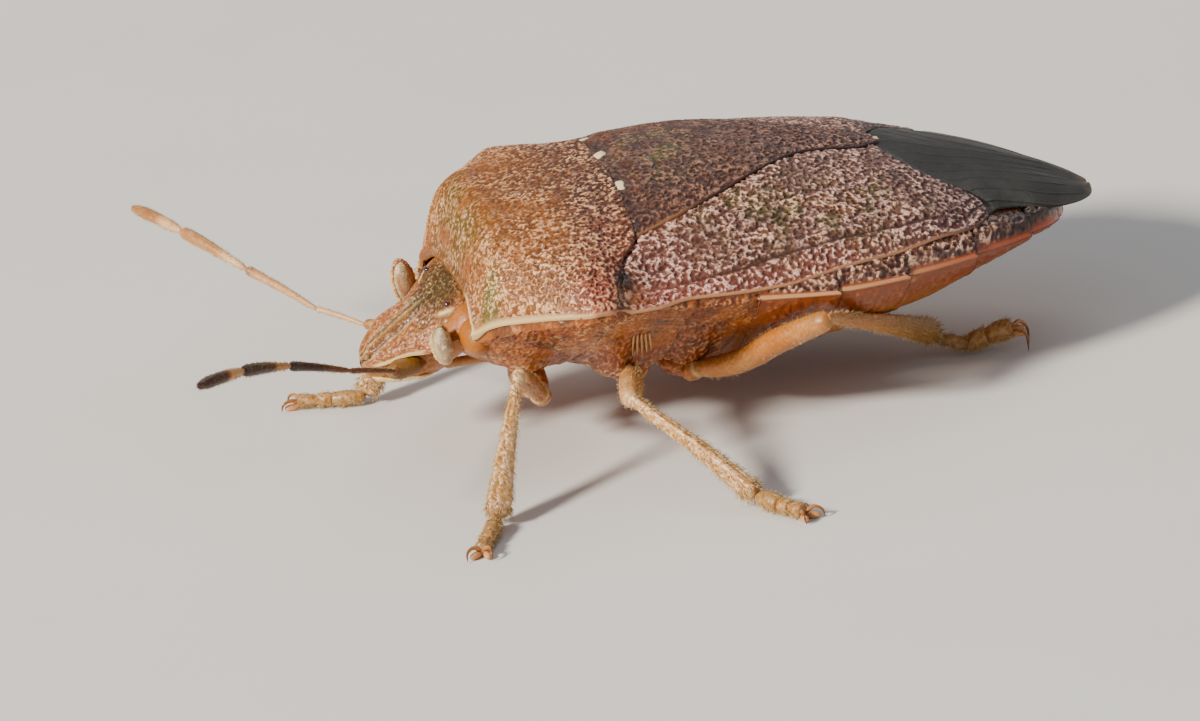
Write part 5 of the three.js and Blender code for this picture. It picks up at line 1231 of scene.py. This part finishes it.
def leg(name, k):
    n, coxa, knee, ankle, toe, root = LEGS[name]
    C, K, A = (stand(np.array(v, float)) for v in (coxa, knee, ankle))
    Tt = stand(np.array([toe[0], toe[1], FLOOR_Z + SLOPE_X * toe[0] + SLOPE_Y * toe[1]]))
    u0 = (k % 3) / 3 + 0.01; v0 = (k // 3) / 2 + 0.01
    box = lambda part: (u0, v0 + 0.16 * part, u0 + 0.31, v0 + 0.16 * part + 0.145)
    side = -1.0 if name.startswith("left") else 1.0
    R0 = stand(np.array(root, float)) if root is not None else C + (K - C) / np.linalg.norm(K - C) * 0.42
    fd = (K - R0) / np.linalg.norm(K - R0)
    # coxa: a short blunt cone set in its hollow, leaning towards the thigh
    cd = (R0 - C) / np.linalg.norm(R0 - C)
    path = smooth_path([C - cd * 0.30 + np.array([0, 0, 0.16]), C + np.array([0, 0, 0.03]), R0 - cd * 0.06], 30)
    cx = tube(path, Curve([0, 0.25, 0.6, 0.85, 1], [0.20, 0.33, 0.31, 0.22, 0.10])(np.linspace(0, 1, 30)), 40, flat=np.full(30, 0.9))
    cv = pits(cx, 0.11, 150 + k)
    cx = raise_up(cx, relief(cv) + 0.04 * (noise(cx, 0.3, 155 + k) - 0.5), True)
    horn(COXAE, cx, cv, (0.16 * k + 0.01, 0.5, 0.16 * k + 0.15, 0.98), bloom=0.55, speck=0.5, warm=0.5, cool=0.1)
    # trochanter: a smooth amber ring with a pale lip
    tr = smooth_path([R0 - cd * 0.16, R0, R0 + fd * 0.26], 30)
    tt = np.linspace(0, 1, 30)
    big = 0.19
    tg = tube(tr, Curve([0, 0.25, 0.6, 0.9, 1], [0.10, big * 0.9, big, big * 0.82, big * 0.5])(tt), 30)
    tv = pits(tg, 0.12, 158 + k)
    Tn = np.repeat(tt[:, None], 30, 1)
    horn(COXAE, raise_up(tg, 0.5 * relief(tv), True), tv, (0.16 * k + 0.01, 0.02, 0.16 * k + 0.15, 0.48), bloom=0.25, speck=0.15, warm=0.3, amber=0.75, cream=np.clip(0.7 * bell((Tn - 0.85) / 0.10), 0, 1))
    # thigh
    rmax = (0.170, 0.215, 0.232)[n]
    a = R0 + fd * 0.12
    L = np.linalg.norm(K - a); m = int(L / 0.026)
    knots = [a + (K - a) * 0.30 - np.array([0, 0, 0.16]), a + (K - a) * 0.65 - np.array([0, 0, 0.05])] if n == 2 else [a + (K - a) * 0.5 + np.array([0, 0, 0.05])]
    path = smooth_path([a, *knots, K + fd * 0.05], m)
    t = np.linspace(0, 1, m)
    r = Curve([0, 0.05, 0.2, 0.5, 0.80, 0.93, 0.985, 1.0], [0.10, 0.15, 0.9 * rmax, rmax, 0.95 * rmax, 0.86 * rmax, 0.62 * rmax, 0.22 * rmax])(t)
    g = tube(path, r, 44)
    v = pits(g, 0.062, 160 + k)
    T = np.repeat(t[:, None], 44, 1)
    g = raise_up(g, 0.30 * relief(v) + 0.014 * (noise(g, 0.5, 171) - 0.5), True)
    mid = noise(g, 0.4, 173, 2)
    spots = smooth(0.42, 0.25, v) * smooth(0.45, 0.62, noise(g, 0.2, 177))
    upper = bell((normals(g, True)[..., 2] - 0.9) / 0.35)
    s = Soup()
    # the hind thigh's upward faces are painted pale: painted highlight; the fore thigh is painted warmer, darker
    # orange: partly its own amber, partly painted shade
    s.tube(g, box=(0.02, 0.02, 0.98, 0.98), pale=np.clip((0.15, 0.45, 0.25)[n] * smooth(0.50, 0.75, v) * smooth(0.25, 0.6, mid) + 0.30 * smooth(0.86, 0.98, T) + 0.45 * upper * (n == 2), 0, 1), dark=np.clip(0.30 * spots, 0, 1),
           warm=np.clip((0.15, 0.25, 0.25)[n] * smooth(0.35, 0.6, noise(g, 0.7, 174, 2)) + (0.90 * smooth(1.0, 0.80, T) if n == 0 else 0.58 * (n == 2)), 0, 1), green=np.clip(0.05 + 0.15 * smooth(0.5, 0.7, noise(g, 0.5, 175, 2)), 0, 1), red=0.03, black=0.0)
    s.build("thigh_" + name, LEG_M, "legs", ["leg_%s_thigh" % name], row=True)
    hair_on(HAIRS, g, 380, 0.080, 0.0055, 0.50, box(0), 300 + k, dark=0.15)
    # shin: narrow at the knee, wider and three-edged towards the foot
    td = (A - K); L = np.linalg.norm(td); td /= L
    m = int(L / 0.024)
    kn = K - td * 0.03 + np.array([0, 0, 0.02])
    bow = np.cross(td, np.cross(np.array([0, 0, 1.0]), td)); bow /= np.linalg.norm(bow)
    path = smooth_path([kn, kn + (A - kn) * 0.12 + bow * 0.02, kn + (A - kn) * 0.55 + bow * 0.05, A], m)
    t = np.linspace(0, 1, m)
    r0, r1 = ((0.096, 0.215), (0.108, 0.190), (0.118, 0.228))[n]
    r = Curve([0, 0.03, 0.10, 0.4, 0.75, 0.90, 0.975, 1.0], [0.06, 0.105, r0, r0 + 0.30 * (r1 - r0), r0 + 0.80 * (r1 - r0), r1, r1 * 0.90, r1 * 0.55])(t)
    ridged = lambda w: 1 + 0.085 * np.cos(3 * w + 0.5) + 0.02 * np.cos(6 * w)
    g = tube(path, r, 48, shape=ridged, up=bow)
    v = pits(g, 0.060, 180 + k)
    T = np.repeat(t[:, None], 48, 1); W = np.repeat(np.linspace(0, 2 * math.pi, 48, endpoint=False)[None], m, 0)
    groove = bell((W - math.pi / 2) / 0.28) * smooth(0.1, 0.25, T)
    g = raise_up(g, 0.45 * relief(v) - 0.03 * groove + 0.008 * (noise(g, 0.3, 191) - 0.5), True)
    spots = smooth(0.44, 0.26, v) * smooth(0.42, 0.60, noise(g, 0.17, 192))
    s = Soup()
    # the hind shins are painted darker and more olive: partly painted shade, as they lie in the body's shadow
    s.tube(g, box=(0.02, 0.02, 0.98, 0.98), pale=np.clip((0.85 if n < 2 else 0.12) * smooth(0.50, 0.72, v) * smooth(0.1, 0.45, noise(g, 0.3, 193)) + 0.25 * smooth(0.12, 0.02, T) + 0.3 * bell((W - 0.5) / 0.3) * (n < 2), 0, 1),
           dark=np.clip((0.55 if n < 2 else 0.35) * spots + 0.25 * groove * (n < 2) + 0.28 * (n == 2), 0, 1), warm=0.05 + 0.25 * smooth(0.88, 1, T) + 0.60 * (n == 2), green=np.clip(0.03 + (0.40 if n == 2 else 0.06) * smooth(0.3, 0.8, T), 0, 1), red=0.02, black=0.0)
    s.build("shin_" + name, LEG_M, "legs", ["leg_%s_shin" % name], row=True)
    more = lambda tt, ww: 0.40 + 0.60 * smooth(0.1, 0.9, tt)
    hair_on(HAIRS, g, 1250, 0.105, 0.0060, 0.52, box(1), 320 + k, dark=0.10, where=more)
    hair_on(HAIRS, g, 80, 0.15, 0.0090, 0.50, box(2), 340 + k, dark=0.30, rows=(0.9, 0.99))
    # foot: three joints, a pair of claws with a soft pad beside each
    hd = Tt - A; hd[2] = 0; HL = np.linalg.norm(hd); hd /= HL
    lat = np.array([-hd[1], hd[0], 0])
    low = lambda f, z: np.array([A[0], A[1], 0]) + hd * HL * f + np.array([0, 0, z])
    if name == "left_hind":
        stops = [A + hd * 0.08 + np.array([0, 0, -0.12]), low(0.34, 0.20), low(0.56, 0.33), low(0.84, 0.44)]
    else:
        stops = [A + hd * 0.05 + np.array([0, 0, -0.05]), low(0.42, 0.155), low(0.60, 0.140), low(0.86, 0.150)]
    s = Soup()
    rad = [(0.125, 0.185, 0.170), (0.120, 0.160, 0.145), (0.095, 0.145, 0.155)] if n == 1 else [(0.105, 0.135, 0.125), (0.140, 0.205, 0.200), (0.160, 0.215, 0.190)] if name == "left_hind" else [(0.125, 0.185, 0.170), (0.120, 0.160, 0.145), (0.095, 0.145, 0.155)] if n else [(0.105, 0.155, 0.140), (0.105, 0.140, 0.125), (0.085, 0.130, 0.140)]
    for i in range(3):
        p0, p1 = stops[i], stops[i + 1]
        d = (p1 - p0) / np.linalg.norm(p1 - p0)
        m2 = 38
        path = smooth_path([p0 - d * 0.02, (p0 + p1) / 2 + np.array([0, 0, 0.008]), p1 + d * 0.02], m2)
        t = np.linspace(0, 1, m2)
        r = Curve([0, 0.08, 0.6, 0.9, 0.98, 1.0], [rad[i][0] * 0.5, rad[i][0], rad[i][1], rad[i][2], rad[i][2] * 0.8, rad[i][2] * 0.3])(t)
        g = tube(path, r, 36, flat=0 * t + 0.90)
        v = pits(g, 0.085, 200 + k + 7 * i)
        g = raise_up(g, 0.4 * relief(v), True); g[..., 2] = np.maximum(g[..., 2], 0.0)
        T = np.repeat(t[:, None], 36, 1)
        s.tube(g, box=(0.02, 0.32 * i + 0.01, 0.98, 0.32 * i + 0.30), pale=0.45 * smooth(0.46, 0.72, v), dark=np.clip(0.40 * smooth(0.88, 1.0, T) + 0.25 * smooth(0.4, 0.25, v) + (0.35 if i == 2 else 0) * smooth(0.6, 1, T), 0, 1),
               warm=0.30, green=0.42 if i == 0 else 0.25, red=0.04 + 0.06 * (i == 2), black=0.0)
        brush = lambda tt, ww: 0.35 + 0.65 * (np.sin(ww) < 0)
        hair_on(HAIRS, g, 260, 0.105, 0.0054, 0.58, box(3 + i * 0.6), 360 + 10 * k + i, dark=0.05, where=brush)
    s.build("foot_" + name, LEG_M, "legs", ["leg_%s_foot" % name], row=True)
    end = stops[3]
    for c in (-1, 1):
        o = end + lat * 0.055 * c
        q = 0.08 * (2 * k + (c > 0)); base = np.array([o[0], o[1], 0])
        if name == "left_hind":
            pts = [o, o + hd * 0.13 + lat * 0.09 * c + np.array([0, 0, 0.05]), o + hd * 0.25 + lat * 0.16 * c + np.array([0, 0, -0.10]), base + hd * 0.26 + lat * 0.17 * c + np.array([0, 0, 0.02])]
        else:
            pts = [o, o + hd * 0.11 + lat * 0.10 * c + np.array([0, 0, 0.06]), o + hd * 0.24 + lat * 0.17 * c + np.array([0, 0, 0.0]), base + hd * 0.28 + lat * 0.17 * c + np.array([0, 0, 0.018])]
        path = smooth_path(pts, 30); t = np.linspace(0, 1, 30)
        g = tube(path, Curve([0, 0.3, 0.8, 1], [0.046, 0.036, 0.018, 0.004])(t), 16)
        g[..., 2] = np.maximum(g[..., 2], 0.0)
        CLAWS.tube(g, box=(q, 0.02, q + 0.07, 0.45), dark=np.repeat(0.8 * smooth(0.55, 1.0, t)[:, None], 16, 1), pale=np.repeat(0.6 * smooth(0.6, 0.2, t)[:, None], 16, 1))
        pad = o + hd * 0.10 + lat * 0.05 * c; pad[2] = max(end[2] - 0.085, 0.062)
        pg = ball_grid(pad, (0.140, 0.080, 0.062), 16, 24, np.stack([hd + 0.35 * c * lat, lat, [0, 0, 1.0]], 1))
        pg = raise_up(pg, 0.012 * (noise(pg, 0.05, 210) - 0.5), True)
        pg[..., 2] = np.maximum(pg[..., 2], 0.0)
        CLAWS.tube(pg, box=(q, 0.5, q + 0.07, 0.95), dark=0.0, pale=1.0)


# --------------------------------------------------------------------- beak
def beak():
    s = Soup()
    parts = [((1.00, 0, -1.98), (2.30, 0, -1.95), 0.095, 0.100), ((2.28, 0, -1.95), (4.15, 0, -1.95), 0.098, 0.085),
             ((4.13, 0, -1.95), (5.70, 0, -2.00), 0.085, 0.075), ((5.68, 0, -2.00), (6.95, 0, -2.06), 0.075, 0.028)]
    for i, (a, b, ra, rb) in enumerate(parts):
        a, b = np.array(a), np.array(b)
        m = int(np.linalg.norm(b - a) / 0.035); t = np.linspace(0, 1, m)
        path = smooth_path([a, (a + b) / 2 + np.array([0, 0, 0.01]), b], m)
        r = Curve([0, 0.05, 0.5, 0.94, 1.0], [ra * 0.6, ra, (ra + rb) / 2, rb, rb * 0.6])(t)
        g = tube(path, r, 28, shape=lambda w: 1 - 0.16 * bell((w - math.pi / 2) / 0.35))
        T = np.repeat(t[:, None], 28, 1)
        g = raise_up(g, 0.008 * (noise(g, 0.15, 230 + i) - 0.5), True)
        s.tube(g, box=(0.02, 0.24 * i + 0.01, 0.98, 0.24 * i + 0.23), pale=0.25, dark=0.2 + 0.4 * smooth(0.9, 1, T), warm=0.4, green=0.2, red=0.0, black=(0.8 * smooth(0.6, 0.95, T) if i == 3 else 0 * T))
    s.build("beak_joints", LEG_M, "underside", ["beak"])


def scent_gland():
    """Ridged pale plate beside each middle and hind hip."""
    s = Soup()
    for side in (-1, 1):
        for j in range(5):
            u = (j - 2) / 2
            K = np.linspace(0.765, 0.620, 9)
            x = 5.30 + 0.150 * u + (0.14 + 0.04 * u) * (0.765 - K) / 0.165
            y, z, _ = chest(x, K)
            pts = np.stack([x, side * y - side * -0.006, z - 0.010], -1)
            path = smooth_path(pts, 44); t = np.linspace(0, 1, 44)
            g = tube(path, Curve([0, 0.15, 0.7, 1], [0.008, 0.021, 0.019, 0.007])(t) * (1 - 0.15 * abs(u)), 14)
            g = raise_up(g, 0.006 * (noise(g, 0.06, 240 + j) - 0.5), True)
            q = 0.1 * (j + 5 * (side > 0))
            horn(s, g, 0.7 + 0 * g[..., 0], (q, 0, q + 0.09, 1), bloom=0.75, speck=0.1, cream=0.45, warm=0.2)
    s.build("scent_ridges", BELLY_M, "underside")


pronotum(); scutellum(); corium(-1); corium(1); film(-1); film(1)
abdomen(); breast(); scent_gland(); beak(); head(); eyes()
for i, nm in enumerate(("left", "right")):
    feeler(nm, i)
for i, nm in enumerate(LEGS):
    leg(nm, i)
COXAE.build("hips", BELLY_M, "underside", row=True)
CLAWS.build("claws", CLAW_M, "legs", row=True)
HAIRS.build("leg_bristles", HAIR_M, "legs", row=True)
PILE.build("feeler_pile", HAIR_M, "feelers", row=True)


# --------------------------------------------------- camera, floor and light
def camera():
    az, el, roll = (math.radians(v) for v in (-14.38, 21.26, -3.09))
    back_ = np.array([math.sin(az) * math.cos(el), -math.cos(az) * math.cos(el), math.sin(el)])
    right = np.array([math.cos(az), math.sin(az), 0.0]); up = np.cross(back_, right)
    r2 = math.cos(roll) * right + math.sin(roll) * up; u2 = -math.sin(roll) * right + math.cos(roll) * up
    scale, far, c0 = 54.91, 271.7, np.array([7.0, 0, 0])
    eye = c0 + far * back_ - r2 * ((687.0 - 600.0) / scale) - u2 * (-(227.4 - 360.5) / scale)
    m = np.stack([EX, EY, UP])
    cam = bpy.data.cameras.new("camera"); cam.sensor_width = 36.0; cam.lens = 36.0 * scale * far / 1200.0
    cam.clip_start, cam.clip_end = 0.005, 20.0
    ob = bpy.data.objects.new("camera", cam)
    bpy.context.scene.collection.objects.link(ob)
    R = Matrix([list(m @ r2), list(m @ u2), list(m @ back_)]).transposed()
    ob.matrix_world = Matrix.Translation(Vector(stand(eye) * 0.001)) @ R.to_4x4()
    bpy.context.scene.camera = ob
    return m @ r2, m @ u2, m @ back_


RIGHT, UPWARD, BACK = camera()


def lamp(name, at, size, power, colour=(1, 1, 1)):
    d = bpy.data.lights.new(name, "AREA"); d.shape = "DISK"; d.size = size; d.energy = power; d.color = colour
    ob = bpy.data.objects.new(name, d)
    bpy.context.scene.collection.objects.link(ob)
    ob.location = at
    ob.rotation_euler = (Vector((0, 0, 0.002)) - Vector(at)).to_track_quat("-Z", "Y").to_euler()


def from_camera(right, up, back_, far):
    return tuple(float(v) for v in (RIGHT * right + UPWARD * up + BACK * back_) * far)


lamp("key", from_camera(-0.76, 0.24, 0.60, 0.36), 0.075, 2.75, (1.0, 0.93, 0.84))
lamp("fill", from_camera(0.75, 0.25, 0.60, 0.40), 0.24, 0.14, (0.93, 0.96, 1.0))
lamp("above", from_camera(0.10, 0.90, -0.35, 0.36), 0.22, 0.26, (1.0, 0.98, 0.95))


me = bpy.data.meshes.new("floor")
me.from_pydata([(-3, -3, 0), (3, -3, 0), (3, 3, 0), (-3, 3, 0)], [], [(0, 1, 2, 3)])
floor = bpy.data.objects.new("floor", me)
bpy.context.scene.collection.objects.link(floor)
fm = Mat("studio_floor", (0.72, 0.70, 0.66, 1), rough=0.8, specular=0.2)
fm.over((0.69, 0.67, 0.63, 1), fm.noise(0.15, 2), 0.5)
me.materials.append(fm.done())

world = bpy.data.worlds.new("studio"); bpy.context.scene.world = world; world.use_nodes = True
world.node_tree.nodes["Background"].inputs["Color"].default_value = (0.86, 0.90, 1.0, 1)
world.node_tree.nodes["Background"].inputs["Strength"].default_value = 0.31
